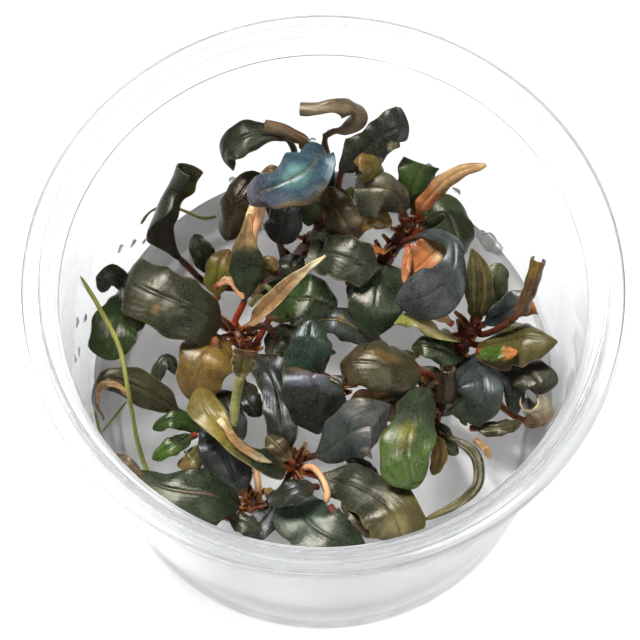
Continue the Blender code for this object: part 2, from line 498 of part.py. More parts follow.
def section(count, half_widths, half_thickness, half_bend, ripple, blade):
    """Points of one cupped section, as places sideways and upwards of its centre."""
    points = []
    for number in range(count):
        angle = 2 * math.pi * number / count
        across = math.cos(angle)
        bend = across * half_bend
        half_width = half_widths[0] if across < 0 else half_widths[1]
        straight = abs(half_bend) < STRAIGHT_BELOW
        sideways = half_width * (across if straight else math.sin(bend) / half_bend)
        raised = 0.0 if straight else half_width * (1 - math.cos(bend)) / half_bend
        raised += ripple * across ** 2 * math.sin(2 * math.pi * MARGIN_WAVES * blade + across)
        thick = math.sin(angle) * half_thickness
        points.append((sideways - math.sin(bend) * thick, raised + math.cos(bend) * thick))
    return points


def loft(rings):
    """A closed mesh through rings of equal count, capped at both ends."""
    mesh = bmesh.new()
    loops = [[mesh.verts.new(Vector(point) * MM) for point in ring] for ring in rings]
    for lower, upper in zip(loops, loops[1:]):
        for index in range(len(lower)):
            following = (index + 1) % len(lower)
            mesh.faces.new((lower[index], lower[following], upper[following], upper[index]))
    mesh.faces.new(list(reversed(loops[0])))
    mesh.faces.new(loops[-1])
    bmesh.ops.triangulate(mesh, faces=mesh.faces[:])
    bmesh.ops.recalc_face_normals(mesh, faces=mesh.faces[:])
    data = bpy.data.meshes.new("loft")
    mesh.to_mesh(data)
    mesh.free()
    data.shade_smooth()
    return data


def nearest_on_path(path, point):
    """The point of a polyline that lies nearest to a given point."""
    best = None
    for start, end in zip(path, path[1:]):
        start, end = np.array(start, float), np.array(end, float)
        share = np.clip((point - start).dot(end - start) / (end - start).dot(end - start), 0, 1)
        found = start + (end - start) * share
        if best is None or np.linalg.norm(found - point) < np.linalg.norm(best - point):
            best = found
    return best


def seated_path(spec, plantlet):
    """The leaf's path with its foot set just clear of the stem's side."""
    first = np.array(spec["path"][0], float)
    heart = nearest_on_path(plantlet["stem"], first)
    foot = heart + unit(first - heart) * (plantlet["radius"] + STEM_GAP)
    return [tuple(foot), *spec["path"][1:]]


def make_leaf(name, spec, plantlet):
    rings = leaf_rings(spec, seated_path(spec, plantlet))
    add_object(name, loft(rings), materials[spec["tone"]])


def make_tube(name, path, radius, count, material):
    """A round stem or root along a smooth curve, with filled caps."""
    curve = bpy.data.curves.new(name, "CURVE")
    curve.dimensions = "3D"
    curve.bevel_depth = radius * MM
    curve.bevel_resolution = TUBE_ROUNDNESS
    curve.use_fill_caps = True
    spline = curve.splines.new("POLY")
    points = smooth_path(path, np.linspace(0, 1, count))
    spline.points.add(len(points) - 1)
    for target, point in zip(spline.points, points):
        target.co = (*(point * MM), 1.0)
    add_object(name, curve, material)


for old in list(bpy.data.objects):
    bpy.data.objects.remove(old, do_unlink=True)

parts_collection = bpy.data.collections.new("bucephalandra_cup")
bpy.context.scene.collection.children.link(parts_collection)

materials = {tone: make_material(tone, colour, roughness) for tone, (colour, roughness) in TONES.items()}
clear_plastic = make_material("clear_plastic", (0.90, 0.91, 0.91), 0.15, transmission=0.8)
culture_gel = make_material("culture_gel", (0.80, 0.79, 0.76), 0.20, transmission=0.7)
stem_skin = make_material("stem_skin", (0.32, 0.07, 0.03), 0.50)
root_skin = make_material("root_skin", (0.20, 0.34, 0.08), 0.50)

turned("cup", cup_profile(), clear_plastic)
turned("gel", gel_profile(), culture_gel)
for place_name, plantlet in PLANTLETS.items():
    make_tube("stem_" + place_name, plantlet["stem"], plantlet["radius"], STEM_RINGS, stem_skin)
    for index, spec in enumerate(plantlet["leaves"], start=1):
        make_leaf(f"leaf_{place_name}_{index}", spec, plantlet)
make_tube("root_stalk", ROOT_STALK, ROOT_RADIUS, ROOT_RINGS, root_skin)
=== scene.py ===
"""Bucephalandra plantlets in a clear round culture cup, dressed around the solid model.

Each leaf is one loft along a given path, the same path as its solid: a round
petiole that flattens into a cupped blade with a sunken midrib and a wavy
margin. Every leaf carries its own place along and across the blade as a mesh
attribute, and its material paints base, tip, midrib and margin by that place.

The tables are in millimetres, and MM turns them into metres.
"""
import math
import random

import bmesh
import bpy
import numpy as np
from mathutils import Matrix, Vector, noise


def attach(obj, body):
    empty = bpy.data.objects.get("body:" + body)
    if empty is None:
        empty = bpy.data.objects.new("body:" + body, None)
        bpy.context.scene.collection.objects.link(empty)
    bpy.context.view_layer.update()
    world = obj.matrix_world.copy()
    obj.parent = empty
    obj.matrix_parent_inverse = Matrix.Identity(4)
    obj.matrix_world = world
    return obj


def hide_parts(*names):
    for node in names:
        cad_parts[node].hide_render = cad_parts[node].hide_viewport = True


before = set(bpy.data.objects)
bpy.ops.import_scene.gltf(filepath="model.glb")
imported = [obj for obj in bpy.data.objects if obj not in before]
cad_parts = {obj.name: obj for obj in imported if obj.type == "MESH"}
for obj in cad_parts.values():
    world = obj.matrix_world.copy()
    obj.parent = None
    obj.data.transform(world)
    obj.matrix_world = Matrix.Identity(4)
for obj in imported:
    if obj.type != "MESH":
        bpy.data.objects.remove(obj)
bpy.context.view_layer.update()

MM = 0.001
UP = (0.0, 0.0, 1.0)

# Cup and gel, as in the solid model
RIM_RADIUS = 50.0
RIM_HEIGHT = 70.4
RIM_INNER_RADIUS = 46.6
RIM_UNDERSIDE = 67.7
RIM_HOLLOW = 68.5
FLANGE_RADIUS = 47.3
LEDGE_RADIUS = 43.8
LEDGE_HEIGHT = 63.9
FOOT_RADIUS = 38.9
WALL = 0.8
FLOOR_PANEL_RADIUS = 28.5
FLOOR_PANEL_RISE = 1.0
GEL_TOP = 23.0
GEL_RADIUS_AT_TOP = 40.8
CONTACT_GAP = 0.3

# Turned parts: steps in a full turn, and how near points count as one, in metres
TURN_STEPS = 180
MERGE_DISTANCE = 0.00002
MOULD_EDGE_POINTS = 9

# Camera, fitted to the cup's circles in the photograph; the clips are in metres
CAMERA_TARGET = (-0.53, 0.0, 52.8)
CAMERA_PLACE = (-0.53, -219.1, 611.35)
CAMERA_LENS = 200.25
CAMERA_SENSOR = 36.0
CAMERA_CLIPS = (0.01, 10)

# Light: white surroundings, a floor that glows a little, and soft boxes (place in metres, size, watts)
WHITE = (1, 1, 1, 1)
SURROUNDINGS = 0.22
FLOOR_COLOUR = (0.9, 0.9, 0.9, 1)
FLOOR_ROUGHNESS = 0.8
FLOOR_GLOW = 0.6
FLOOR_REACH = 3.0
FLOOR_DROP = 0.0002
LIGHT_TARGET = (0, 0, 0.03)
LIGHTS = (
    ("key_light", (-0.25, 0.30, 0.75), 0.24, 11.8),
    ("front_light", (0.35, -0.30, 0.70), 0.30, 1.7),
)

# Leaf shape: lengths in millimetres, the rest in shares of the leaf
PETIOLE_RADIUS = 0.6
BLADE_HALF_THICKNESS = 0.2
TIP_HALF_WIDTH = 0.25
PETIOLE_ROUNDNESS = 2.0
BLADE_ROUNDNESS = 8.0
FLAT_FROM = 0.2
STRAIGHT_BELOW = 0.01
STEM_GAP = 0.5
SEAT_DEPTH = 0.5
FOOT_ROUNDING = 0.12
TIP_ROUNDING = 0.14
WIDEST = 0.5
SWELL_POWER = 0.95
OUTLINE_RANGE = (0.05, 1.3)
RIB_HALF_WIDTH = 0.3
RIB_DEPTH = 0.22
RIB_FADE = 4
BUMP_SIZE = 3.6
BUMP_HEIGHT = 0.42

# Waves of the leaf's margin along the blade, in turns, and in radians for the wobble of its width
MARGIN_WAVES = 2.0
FRILL_TURNS = 5.3
FRILL_TURNS_SPREAD = 0.7
FRILL_SIDE_SHIFT = 1.9
WOBBLE_RATES = (19, 23)
MARGIN_WOBBLE = 0.06

# Leaf mesh: places across one side, and rings along the blade, closer together towards the tip
ACROSS = (0.0, 0.035, 0.08, 0.15, 0.26, 0.39, 0.53, 0.67, 0.80, 0.90, 0.96, 1.0)
BLADE_STATIONS = 56
SMALL_STATIONS = 28
SHEATH_STATIONS = 12
BLADE_RINGS_PER_PETIOLE_RING = 5
STATION_CROWDING = 1.1
PATH_STEPS = 24
TANGENT_REACH = 0.01

# Leaf skin: features in a millimetre of its three noises, and their relief in millimetres
CLOUDS_PER_MM = 0.22
BLOTCHES_PER_MM = 0.8
GRAIN_PER_MM = 8.0
VEIN_FAN = (34.0, -22.0)
VEIN_RELIEF = 0.006
BLOTCH_RELIEF = 0.065
GRAIN_RELIEF = 0.035

# Leaf skin: where each layer of colour fades in or out, and how strong it is
NOISE_SPAN = (0.3, 0.7)
CLOUD_DRIFT = 0.5
TIP_FROM = 0.65
TIP_FADE = (0.12, 0.16)
WARM_CLOUDS = (0.45, 0.75)
WARM_SHARE = 0.35
EDGE_RAGGEDNESS = 0.1
EDGE_FADE = (0.91, 0.98)
EDGE_STRENGTH = 0.8
MARK_RAGGEDNESS = 1.0
MARK_FADE = (0.4, 1.2)
MARK_STRENGTH = 0.7
RIB_LINE = (0.01, 0.06)
RIB_STRENGTH = 0.45
UNDERSIDE_FADE = (0.3, 0.6)
FOOT_FADE = (-0.1, 0.12)
SPECK_LEVELS = (0.57, 0.66)
SPECK_STRENGTH = 0.3
CLOUD_SHADES = (0.36, 0.85)
BLOTCH_SHADES = (0.8, 1.2)
GRAIN_SPAN = (0.35, 0.65)
GRAIN_SHADES = (0.75, 1.25)
FRILL = 0.12

# Leaf skin: gloss, and the tint of the gloss for the tones whose gloss isn't warm
GLOSS_CLOUDS = (0.35, 0.7)
LEAF_ROUGHNESS = (0.26, 0.36)
LEAF_SPECULAR = 0.5
LEAF_COAT = 0.06
LEAF_COAT_ROUGHNESS = 0.25
LEAF_IOR = 1.45
WARM_SHEEN = (1.0, 0.93, 0.74, 1.0)
SHEENS = {"blue": (0.85, 0.95, 1.0, 1.0), "black": (0.9, 0.95, 1.0, 1.0)}

# Stems, petioles and roots: rings, points round each ring, and how uneven the skin is
STEM_RINGS = (30, 20, 0.25)
PETIOLE_RINGS = (24, 14, 0.2)
ROOT_RINGS = (40, 8, 0.2)
ROOT_STALK_RINGS = (80, 12, 0.2)
ROOT_STALK_RADIUS = 0.4
STEEP_FROM = 0.9
END_SHARPNESS = 14
LEAST_END = 0.04
LUMP_SIZE = 1.3
STEM_CLOUDS = (0.38, 0.62)
STEM_GRAIN_PER_MM = 5.0
STEM_GRAIN_RELIEF = 0.05
STEM_ROUGHNESS = (0.4, 0.6)
STEM_COAT = 0.15

# Crowns: papery sheaths in a spiral round each stem, their middle and tip in shares of reach and length
CROWN_SCALES = 20
CROWN_REACH = 0.9
CROWN_SEAT = 0.6
CROWN_LENGTHS = (2.6, 5.2)
CROWN_WIDTHS = (0.7, 1.7)
CROWN_LEANS = (0.1, 0.75)
CROWN_MIDDLE = (0.3, 0.45)
CROWN_TIP_RISE = 0.7
CROWN_CUP = 130
CROWN_OUTLINE = [0.9, 1, 0.85, 0.6, 0.2]
GOLDEN_ANGLE = 2.4

# Cup and gel looks: clearness is the share of light let through, and relief is in millimetres
PLASTIC_FLOW_PER_MM = 0.2
PLASTIC_RELIEF = 0.01
PLASTIC_COLOURS = ((0.80, 0.81, 0.82, 1), (0.85, 0.86, 0.87, 1))
PLASTIC_ROUGHNESS = (0.07, 0.12)
PLASTIC_CLEARNESS = 0.78
PLASTIC_IOR = 1.46
# Grey rings at the mould edges: painted shade for the darker look of the clear plastic where its surface
# turns
MOULD_EDGE_FLOW_PER_MM = 0.05
MOULD_EDGE_SPAN = (0.4, 0.6)
MOULD_EDGE_ROUGHNESS = 0.3
MOULD_EDGE_SHADE_COLOURS = ((0.36, 0.37, 0.38, 1), (0.70, 0.71, 0.72, 1))
MOULD_EDGE_CLEARNESS = 0.3
GEL_SWIRLS_PER_MM = 0.1
GEL_RELIEF = 0.03
GEL_ROUGHNESS = 0.18
GEL_COLOURS = ((0.94, 0.93, 0.91, 1), (0.98, 0.975, 0.96, 1))
GEL_CLEARNESS = 0.7
WATER_CLEARNESS = 0.9
GEL_IOR = 1.34

# Domes of water and gel: halvings of their faces, how uneven they are, and their shape
DOME_DETAIL = 3
DOME_LUMPS = 0.25
DROP_SHAPE = (0.35, 1, 1.2)
DROP_SINK = 0.1
GEL_LUMP_FLATNESS = 0.7

# Named colours, 0 to 255
COLOURS = {
    "black_green": (17, 24, 21),
    "dark_slate": (27, 35, 35),
    "black_slate": (22, 27, 29),
    "navy": (26, 30, 38),
    "slate": (34, 46, 38),
    "slate_brown": (33, 41, 29),
    "purple_slate": (62, 64, 72),
    "peacock": (44, 78, 96),
    # painted highlight: the pale turquoise spot in the middle of a blue northern leaf
    "painted_highlight_turquoise": (118, 170, 160),
    "forest": (26, 50, 36),
    "grey_green": (60, 74, 50),
    "blue_slate": (50, 62, 66),
    "teal": (40, 68, 60),
    "lavender": (98, 98, 116),
    "dark_green": (28, 50, 26),
    "mid_green": (35, 68, 22),
    "bright_green": (56, 92, 18),
    "lime": (152, 156, 76),
    "dark_olive": (52, 52, 30),
    "olive": (90, 82, 40),
    "bronze": (62, 48, 26),
    "gold_green": (128, 122, 44),
    "olive_gold": (140, 122, 48),
    "gold_brown": (136, 104, 46),
    "grey_brown": (84, 80, 64),
    "pale_green": (176, 178, 110),
    "gold": (158, 124, 62),
    "dark_gold": (122, 92, 44),
    "khaki": (150, 138, 92),
    "taupe": (112, 92, 74),
    "brown": (92, 62, 42),
    "dark_brown": (48, 34, 26),
    "tan": (190, 146, 98),
    "peach": (214, 156, 112),
    "salmon": (196, 116, 70),
    "orange": (206, 118, 52),
    "red": (158, 52, 26),
    "dark_red": (92, 28, 20),
    "cream": (232, 212, 166),
    "pink": (196, 142, 128),
}

# How each tone of leaf is coloured: base, tip, underside, petiole, midrib, margin
TONES = {
    "slate": ("slate", "slate", "dark_brown", "dark_red", "olive", "olive"),
    "blue": ("blue_slate", "blue_slate", "dark_olive", "salmon", "gold", "grey_green"),
    "black": ("black_green", "dark_slate", "dark_olive", "dark_red", "dark_olive", "olive"),
    "green": ("dark_green", "dark_green", "olive", "red", "dark_olive", "olive"),
    "olive": ("olive", "dark_gold", "dark_olive", "red", "gold", "gold"),
    "gold": ("dark_gold", "gold", "brown", "orange", "red", "tan"),
    "brown": ("brown", "brown", "dark_brown", "red", "gold", "gold"),
    "peach": ("peach", "peach", "salmon", "red", "salmon", "cream"),
    "cream": ("tan", "cream", "peach", "salmon", "gold", "cream"),
    "lime": ("lime", "lime", "olive", "lime", "khaki", "lime"),
}
LOOK_PARTS = ("base", "tip", "under", "foot", "rib", "edge")


def leaf(tone, width, path, face=UP, tip_face=None, cup=-35, stalk=0.25, outline=None, cut=False,
         wave=0.5, petiole=PETIOLE_RADIUS, **look):
    """One leaf: path runs foot to tip, width is across the flattened blade.

    face is the way the upper side looks, cup the angle that the section bends
    through (edges down when negative), and outline the width's share from the
    blade's foot to its tip, where a pair is the shares left and right of the
    midrib; each can be one value or stops along the leaf. Without an outline
    the blade is widest half way. stalk is the share of the path that is
    petiole, petiole its radius, and a cut tip isn't rounded. look changes the
    colours of the tone, the place where the tip's colour starts, the height
    of the margin's small waves, and adds marks, each its place along and
    across, its size along and across, and its colour.
    """
    colours = dict(zip(LOOK_PARTS, TONES[tone])) | {"tip_from": TIP_FROM, "frill": FRILL, "marks": []}
    if "base" in look:
        colours["tip"] = look["base"]
    faces = face if type(face) is list else [face, tip_face or face]
    return {"tone": tone, "width": width, "path": path, "faces": faces, "cup": cup, "stalk": stalk,
            "outline": outline, "cut": cut, "wave": wave, "petiole": petiole, "look": colours | look}


def make_plantlet(radius, stem, *leaves):
    """One plantlet: the radius and path of its stem, then its leaves."""
    return {"radius": radius, "stem": stem, "leaves": leaves}


# Each plantlet: its stem's radius and path, then its leaves, all in millimetres
PLANTLETS = {
    "north": make_plantlet(
        1.3, [(-12.5, 15.5, 24.9), (-8.5, 18, 26), (-5.5, 21, 27), (-1, 25.5, 29), (-0.5, 29, 32)],
        leaf("slate", 11,
             [(-14, 16.5, 26), (-20, 16.8, 27), (-23.4, 18.4, 30.5), (-26.4, 20, 36), (-27.8, 22, 41),
              (-27.4, 24.5, 45), (-26, 27.2, 48.3), (-24.6, 29.6, 51)],
             face=[(0.2, -0.8, 0.5), (0.4, -0.7, 0.5), (0.8, -0.5, 0.2)],
             cup=[20, 40, 60, 150, 230, 250], stalk=0.4,
             outline=[0.1, (0.2, 0.15), (0.5, 0.3), (1, 0.5), (1.1, 0.6), 0.9, 0.95], cut=True,
             wave=0.2, base="black_slate", tip="dark_olive", under="dark_slate", rib="dark_slate"),
        leaf("slate", 6.4,
             [(-3.4, 29.3, 33), (-4.4, 32.8, 42), (-5.4, 34.6, 48), (-7.6, 35.2, 50.2),
              (-11, 35.3, 51.2), (-14.4, 34.3, 51), (-17, 32.5, 49), (-15.6, 30.8, 45.6)],
             tip_face=(-0.7, -0.3, 0.6), cup=-60, stalk=0.52, outline=[0.15, 0.4, 0.9, 1, 0.8, 0.2],
             tip="olive", tip_from=0.9, foot="dark_olive"),
        leaf("peach", 5.2,
             [(-1.6, 32, 33.4), (-2.2, 33.2, 42), (-1.9, 34, 47.6), (-3.2, 34.8, 50.8),
              (-6.6, 35.7, 52.6), (-9.9, 36.4, 53.4)], face=(0, 0.3, 0.9), cup=-290, stalk=0.56,
             outline=[0.75, 0.95, 1, 1], cut=True, wave=0.0, base="brown", tip="taupe", under="tan",
             foot="brown"),
        leaf("brown", 4.6,
             [(1.4, 31.6, 33.4), (0.9, 33.4, 43), (0.2, 35.2, 48.3), (1.2, 35.9, 50.2),
              (3.6, 35.8, 51.4), (5.2, 36.3, 53.6), (5.6, 37.1, 55.6), (4.2, 37.7, 57),
              (1.8, 37.9, 57.3), (-1, 37.5, 56.9), (-4, 37.7, 56.4)], cup=[-40, -130, -160, -110, -150],
             stalk=0.55, outline=[0.35, 0.6, 0.95, 1, 0.7, 0.6, 0.7], cut=True, base="taupe",
             under="dark_gold", foot="brown"),
        leaf("blue", 9.8,
             [(1.8, 28.4, 33.2), (1.6, 31.4, 42), (0.4, 32.6, 46.8), (-1.1, 31.8, 49.6),
              (-1.5, 29.6, 51.4), (-4, 27, 52.2), (-7.4, 25.4, 51.7), (-10.6, 24.6, 50.2),
              (-12.6, 23.6, 47)],
             face=[(0, 0.2, 1), (0, 0.2, 1), (0, -0.2, 1), (0, -0.3, 1), (-0.6, -0.6, 0.5)],
             cup=[60, 30, -30, -50, -70], stalk=0.45,
             outline=[0.5, 0.55, (0.95, 0.85), (1.05, 0.85), (0.9, 0.5), 0.65, 0.5], wave=0.9,
             base="peacock", tip="lavender", tip_from=0.7, under="dark_gold", foot="peacock",
             # The turquoise mark is a painted highlight.
             marks=[(0.5, 0.1, 0.16, 0.5, "painted_highlight_turquoise"), (0.55, -0.9, 0.25, 0.2, "dark_gold")]),
        leaf("brown", 6.4,
             [(-7, 20.5, 29), (-8.6, 25, 36), (-11, 28.8, 42), (-12.9, 28.9, 44), (-14.8, 26.3, 43.2),
              (-16.1, 23.6, 40.8), (-16.9, 21.2, 37)], tip_face=(-0.4, -0.6, 0.5), cup=-80, stalk=0.5,
             outline=[0.3, 0.7, 0.95, 1, 0.9, 0.65], base="dark_brown", rib="dark_brown", foot="brown"),
        leaf("black", 6.8,
             [(-2.5, 27, 32), (-3.4, 28.4, 37.5), (-4.8, 27.9, 42), (-6.1, 25.6, 42.9),
              (-6.9, 22.7, 41), (-7.6, 20.2, 37.5)], tip_face=(-0.2, -0.8, 0.5), cup=[-50, -90, -60],
             stalk=0.42, outline=[0.35, 0.8, (0.95, 0.9), 1, (0.9, 1)], wave=0.3, base="navy",
             foot="dark_brown"),
        leaf("black", 7.8,
             [(0.8, 27, 32), (2.3, 28.7, 39), (3, 30, 45.5), (4.2, 30.5, 48.2), (6.9, 32, 50.6),
              (9.6, 33.6, 52.4), (12.5, 35.2, 53.2), (14.6, 36.6, 52)], face=(0.1, -0.6, 0.8),
             cup=[-70, -60, -60], stalk=0.5,
             outline=[0.15, (0.5, 0.6), (0.9, 1), (0.75, 0.95), (0.8, 0.9), (1, 0.9), 0.75], cut=True,
             wave=0.4, base="black_green", frill=0.4,
             marks=[(0.7, 0.72, 0.08, 0.3, "cream"), (0.45, 0.8, 0.05, 0.2, "khaki")]),
        leaf("brown", 7.6,
             [(0.9, 25.3, 30.5), (0.9, 26.4, 36.5), (1.4, 26.2, 40.6), (2.7, 24.1, 42), (4.2, 21.9, 41),
              (5.4, 20.2, 38.4)], tip_face=(0, -0.7, 0.6), cup=[-60, -80, -90], stalk=0.42,
             outline=[0.5, 0.9, (1, 0.95), (0.95, 1.05), 0.85], base="bronze", tip="taupe",
             under="dark_gold"),
    ),
    "north_east": make_plantlet(
        1.3, [(8.5, 18.5, 24.6), (11, 20.5, 30), (14, 23, 35), (15.7, 25, 38)],
        leaf("brown", 9.4,
             [(13.8, 24.6, 38.2), (13.7, 25, 42), (13, 25.8, 45), (11.4, 26.3, 47), (8.8, 26.6, 47.4),
              (5.6, 26.8, 46)], face=(0, -0.3, 0.95), cup=[-50, -80, -80, -70],
             outline=[(0.8, 0.3), (1.2, 0.45), (1.25, 0.6), (1.25, 0.8), (1.1, 0.95)], cut=True,
             wave=0.3, base="grey_brown", tip="dark_slate", tip_from=0.8, under="dark_gold",
             rib="khaki"),
        leaf("green", 6.4, [(16, 26.8, 39.6), (15.1, 27.2, 42.4), (15.9, 29, 45), (16.9, 31.6, 46.8)],
             face=(0, -0.5, 0.8), cup=[-10, -30, -60], stalk=0.06, outline=[0.1, 0.4, 0.8, 1.05, 1.1],
             cut=True, base="mid_green"),
        leaf("peach", 4.2,
             [(17.3, 24.6, 39.5), (16.9, 24.4, 43.6), (18.5, 25.3, 47), (21, 26.6, 50.6),
              (24.2, 27.7, 52.6), (28, 28.4, 53.2)], face=(0, -0.3, 0.9), cup=[-100, -150, -160, -120],
             stalk=0.2, outline=[0.5, 0.8, 1, 0.9, 0.6, 0.35], wave=0.1, base="salmon", tip="tan",
             tip_from=0.35, rib="tan", edge="tan"),
        leaf("green", 8.6,
             [(16.5, 22.6, 36.5), (19, 24.3, 39.6), (21.6, 24.3, 40.9), (23.2, 21, 39.4),
              (23.6, 17.8, 36.4)], face=(0.1, 0.1, 0.95), tip_face=(0.5, -0.3, 0.8), cup=-40,
             stalk=0.15, outline=[0.4, 0.85, 1, (0.9, 1), (0.7, 1)], rib="dark_green"),
        leaf("blue", 8.8,
             [(14.2, 20.6, 36), (16.6, 20.2, 41), (19.8, 19.2, 44.5), (22.3, 16.8, 46.5),
              (22.6, 13.4, 46.8), (21.5, 10.6, 45.4), (19, 9, 43), (15.6, 8.5, 40.8),
              (12.8, 8.7, 38.8)], face=[(0, 0, 1), (0.3, 0, 1), (0, -0.1, 1), (-0.3, -0.6, 0.8)],
             cup=[-60, -70, -60, -40, -50], stalk=0.22,
             outline=[0.3, 0.3, 0.34, 0.42, 0.8, 1.05, 1, 0.65], wave=0.4, tip="purple_slate",
             foot="dark_red", under="dark_gold", rib="slate", tip_from=0.55),
        leaf("slate", 10.0,
             [(10.7, 18.3, 31), (10.6, 16.4, 35), (9.5, 12.5, 37), (9, 8, 36.5), (9, 4.5, 33.4)],
             cup=-40, stalk=0.12, outline=[0.5, 0.95, (1, 0.9), (1, 0.9), 0.5], base="forest",
             rib="slate"),
        leaf("slate", 8.0,
             [(8.3, 19.2, 31), (3.6, 19, 35), (-0.4, 17.9, 38.8), (1.8, 16.9, 41), (5.4, 15.6, 41.2),
              (9.2, 14.9, 39.4)], face=(0, -0.2, 1), cup=-30, stalk=0.42,
             outline=[0.3, 0.85, 1, 1, 0.95], rib="slate", edge="khaki"),
    ),
    "east": make_plantlet(
        1.4, [(21.5, 1.5, 24.6), (23.5, 3.5, 29), (26.5, 6.5, 33)],
        leaf("lime", 3.8,
             [(22, 5.2, 31), (22.4, 3.8, 35), (20, 3.6, 37), (17.4, 5.2, 37.6), (15, 6.4, 37),
              (12.4, 6.2, 35.2)], face=[(0.3, -0.5, 0.8), (0, 0.3, 1), (0, -0.3, 1)],
             cup=[60, 20, -60, -60], stalk=0.2, outline=[0.7, 1, 0.6, 0.75, 0.85, 0.2], base="khaki",
             tip="lime"),
        leaf("olive", 4.8,
             [(26, 7.6, 35), (26.8, 8, 39), (26.9, 9.6, 43.6), (26.5, 11.9, 47), (25.4, 14.4, 49.4)],
             face=(0, -0.9, 0.4), cup=[40, -20, -30], stalk=0.08, outline=[0.3, 0.7, 1, 1, 0.75, 0.25],
             wave=0.2, tip="olive", rib="khaki", edge="khaki",
             marks=[(0.5, 0.4, 0.6, 0.1, "khaki"), (0.5, -0.4, 0.6, 0.1, "khaki")]),
        leaf("green", 5.2,
             [(27.6, 8.7, 33.5), (28.8, 10.4, 37.5), (29.9, 12.4, 40.5), (30.6, 15, 41.6)],
             face=(0, -0.7, 0.7), cup=-30, stalk=0.12, outline=[0.3, 0.8, 1, 0.95, 0.6],
             base="grey_green", rib="grey_green"),
        leaf("blue", 5.6, [(28.7, 6.8, 34), (31.3, 7.4, 36.8), (33.7, 8.2, 39), (36.2, 8.8, 40)],
             face=(-0.2, -0.3, 0.9), cup=[60, -30, -60], stalk=0.08,
             outline=[(0.2, 0.2), (0.7, 0.5), (0.95, 0.7), (1, 0.8), (0.8, 1)], cut=True, tip="orange",
             tip_from=0.85, rib="slate", edge="khaki"),
        leaf("brown", 5.6,
             [(27.8, 4.9, 33), (30.2, 4, 38.4), (33.2, 4.8, 42.6), (34.9, 6.9, 46), (35.9, 9.2, 48.6),
              (36.6, 11.4, 50.8)], face=(0, -0.3, 0.9), cup=-290, stalk=0.55, outline=[0.5, 0.9, 1, 1],
             cut=True, wave=0.0, tip="dark_gold", foot="dark_red"),
        leaf("olive", 9.0,
             [(27, 3.5, 31), (29, 2.2, 35.4), (32, 1.9, 38.6), (35.2, 1.5, 41), (38, 0.9, 41.6),
              (40.2, 0.8, 40.4)], face=(0, 0.1, 1), cup=[-60, -90, -120, -90], stalk=0.15,
             outline=[0.3, (0.8, 0.9), (1.3, 1.1), (0.95, 1.2), (0.5, 0.9), 0.25], tip="olive",
             edge="pink", rib="dark_olive"),
        leaf("green", 6.6,
             [(25.7, 1.8, 29), (30, -0.4, 31.6), (33.4, -2, 35), (36, -3.9, 37.2), (37.4, -5.8, 37.8),
              (37.6, -7.2, 36.4)], cup=-50, stalk=0.35, outline=[0.4, 0.8, 1, 1.05, 1.05, 0.9],
             base="black_green"),
        leaf("blue", 8.6,
             [(24, 0.6, 29.5), (26.2, -1.4, 33.4), (27.7, -4.6, 35.7), (27.6, -8, 35),
              (25.9, -11.4, 32.2)], cup=[-40, -50, -40], stalk=0.1,
             outline=[(0.85, 0.6), (1, 0.9), (0.9, 1.05), (0.75, 1.15), (0.3, 1)], cut=True,
             tip="slate", rib="slate"),
        leaf("cream", 9.8,
             [(27.5, -2, 26.5), (32.5, -6.8, 26), (37.2, -9.4, 27), (38.4, -9.6, 29.2),
              (37.9, -9.5, 31.2), (37, -9.4, 33), (35.9, -9.4, 34.8)], face=(0.1, -1, 0.3), cup=-290,
             stalk=0.6, outline=[0.8, 0.95, 1, 0.9], cut=True, wave=0.0, under="brown"),
    ),
    "south_east": make_plantlet(
        1.3, [(19.5, -9.5, 24.6), (19.2, -7.2, 28), (18.7, -4.2, 31.5)],
        leaf("brown", 8.0,
             [(21.8, -8.6, 29.5), (21.2, -7.8, 33), (21.2, -6.2, 36.4), (21.1, -4.4, 39.5)],
             face=(0.2, 0.9, 0.2), cup=[200, 280, 300], stalk=0.05, outline=[0.6, 1, 1.05, 0.85, 0.75],
             cut=True, wave=0.0, tip="khaki", tip_from=0.9),
        leaf("lime", 2.0,
             [(20.5, -11, 27.5), (21, -13.5, 33), (25.3, -17.2, 36), (26.6, -21.1, 37), (26, -24.4, 37),
              (22.5, -27.2, 36), (17.5, -29.2, 34)], cup=-60, stalk=0.3, outline=[0.6, 1, 1, 0.8, 0.5],
             wave=0.2, base="dark_olive", tip="olive", rib="dark_olive", foot="dark_olive"),
        leaf("green", 9.8,
             [(18.3, -5.5, 31), (17.9, -6.4, 36), (16.8, -9.4, 40), (15.2, -14, 42.4),
              (14.3, -18.6, 43.2), (14.4, -22.4, 42.2), (15.6, -25.6, 40)], cup=[-20, -50, -30, -30],
             stalk=0.15,
             outline=[0.1, (0.35, 0.55), (0.7, 0.75), (0.9, 0.65), (0.95, 0.95), (0.75, 1), 0.6],
             wave=0.35, base="forest", tip="bright_green", tip_from=0.6,
             marks=[(0.62, 0.1, 0.13, 0.4, "gold_green")]),
        leaf("brown", 9.6,
             [(19.5, -2.4, 33), (17.2, -3.2, 36), (14.6, -3.7, 38.8), (11.6, -3.8, 41), (8, -3.4, 41.8),
              (4.9, -2.9, 40.6), (3, -2.3, 38.2)], cup=[-50, -70, -80, -60],
             outline=[(0.4, 0.4), (0.75, 0.9), (0.95, 1), 1, 0.9, 0.6], wave=0.25, base="dark_olive",
             # The dark gold mark beside the midrib is a painted gold sheen.
             tip="bronze", rib="dark_brown", edge="brown", marks=[(0.5, 0.3, 0.3, 0.25, "dark_gold")]),
        leaf("olive", 7.0,
             [(18.2, -6.2, 29), (15.6, -6.8, 33), (12, -8.2, 35.4), (8, -8.8, 35.8), (4.6, -8, 34.2)],
             cup=-45, stalk=0.2, outline=[0.4, 0.9, 1, (0.7, 1), (0.5, 0.9)], base="bronze",
             marks=[(0.75, 0.6, 0.3, 0.4, "peach")]),
    ),
    "centre": make_plantlet(
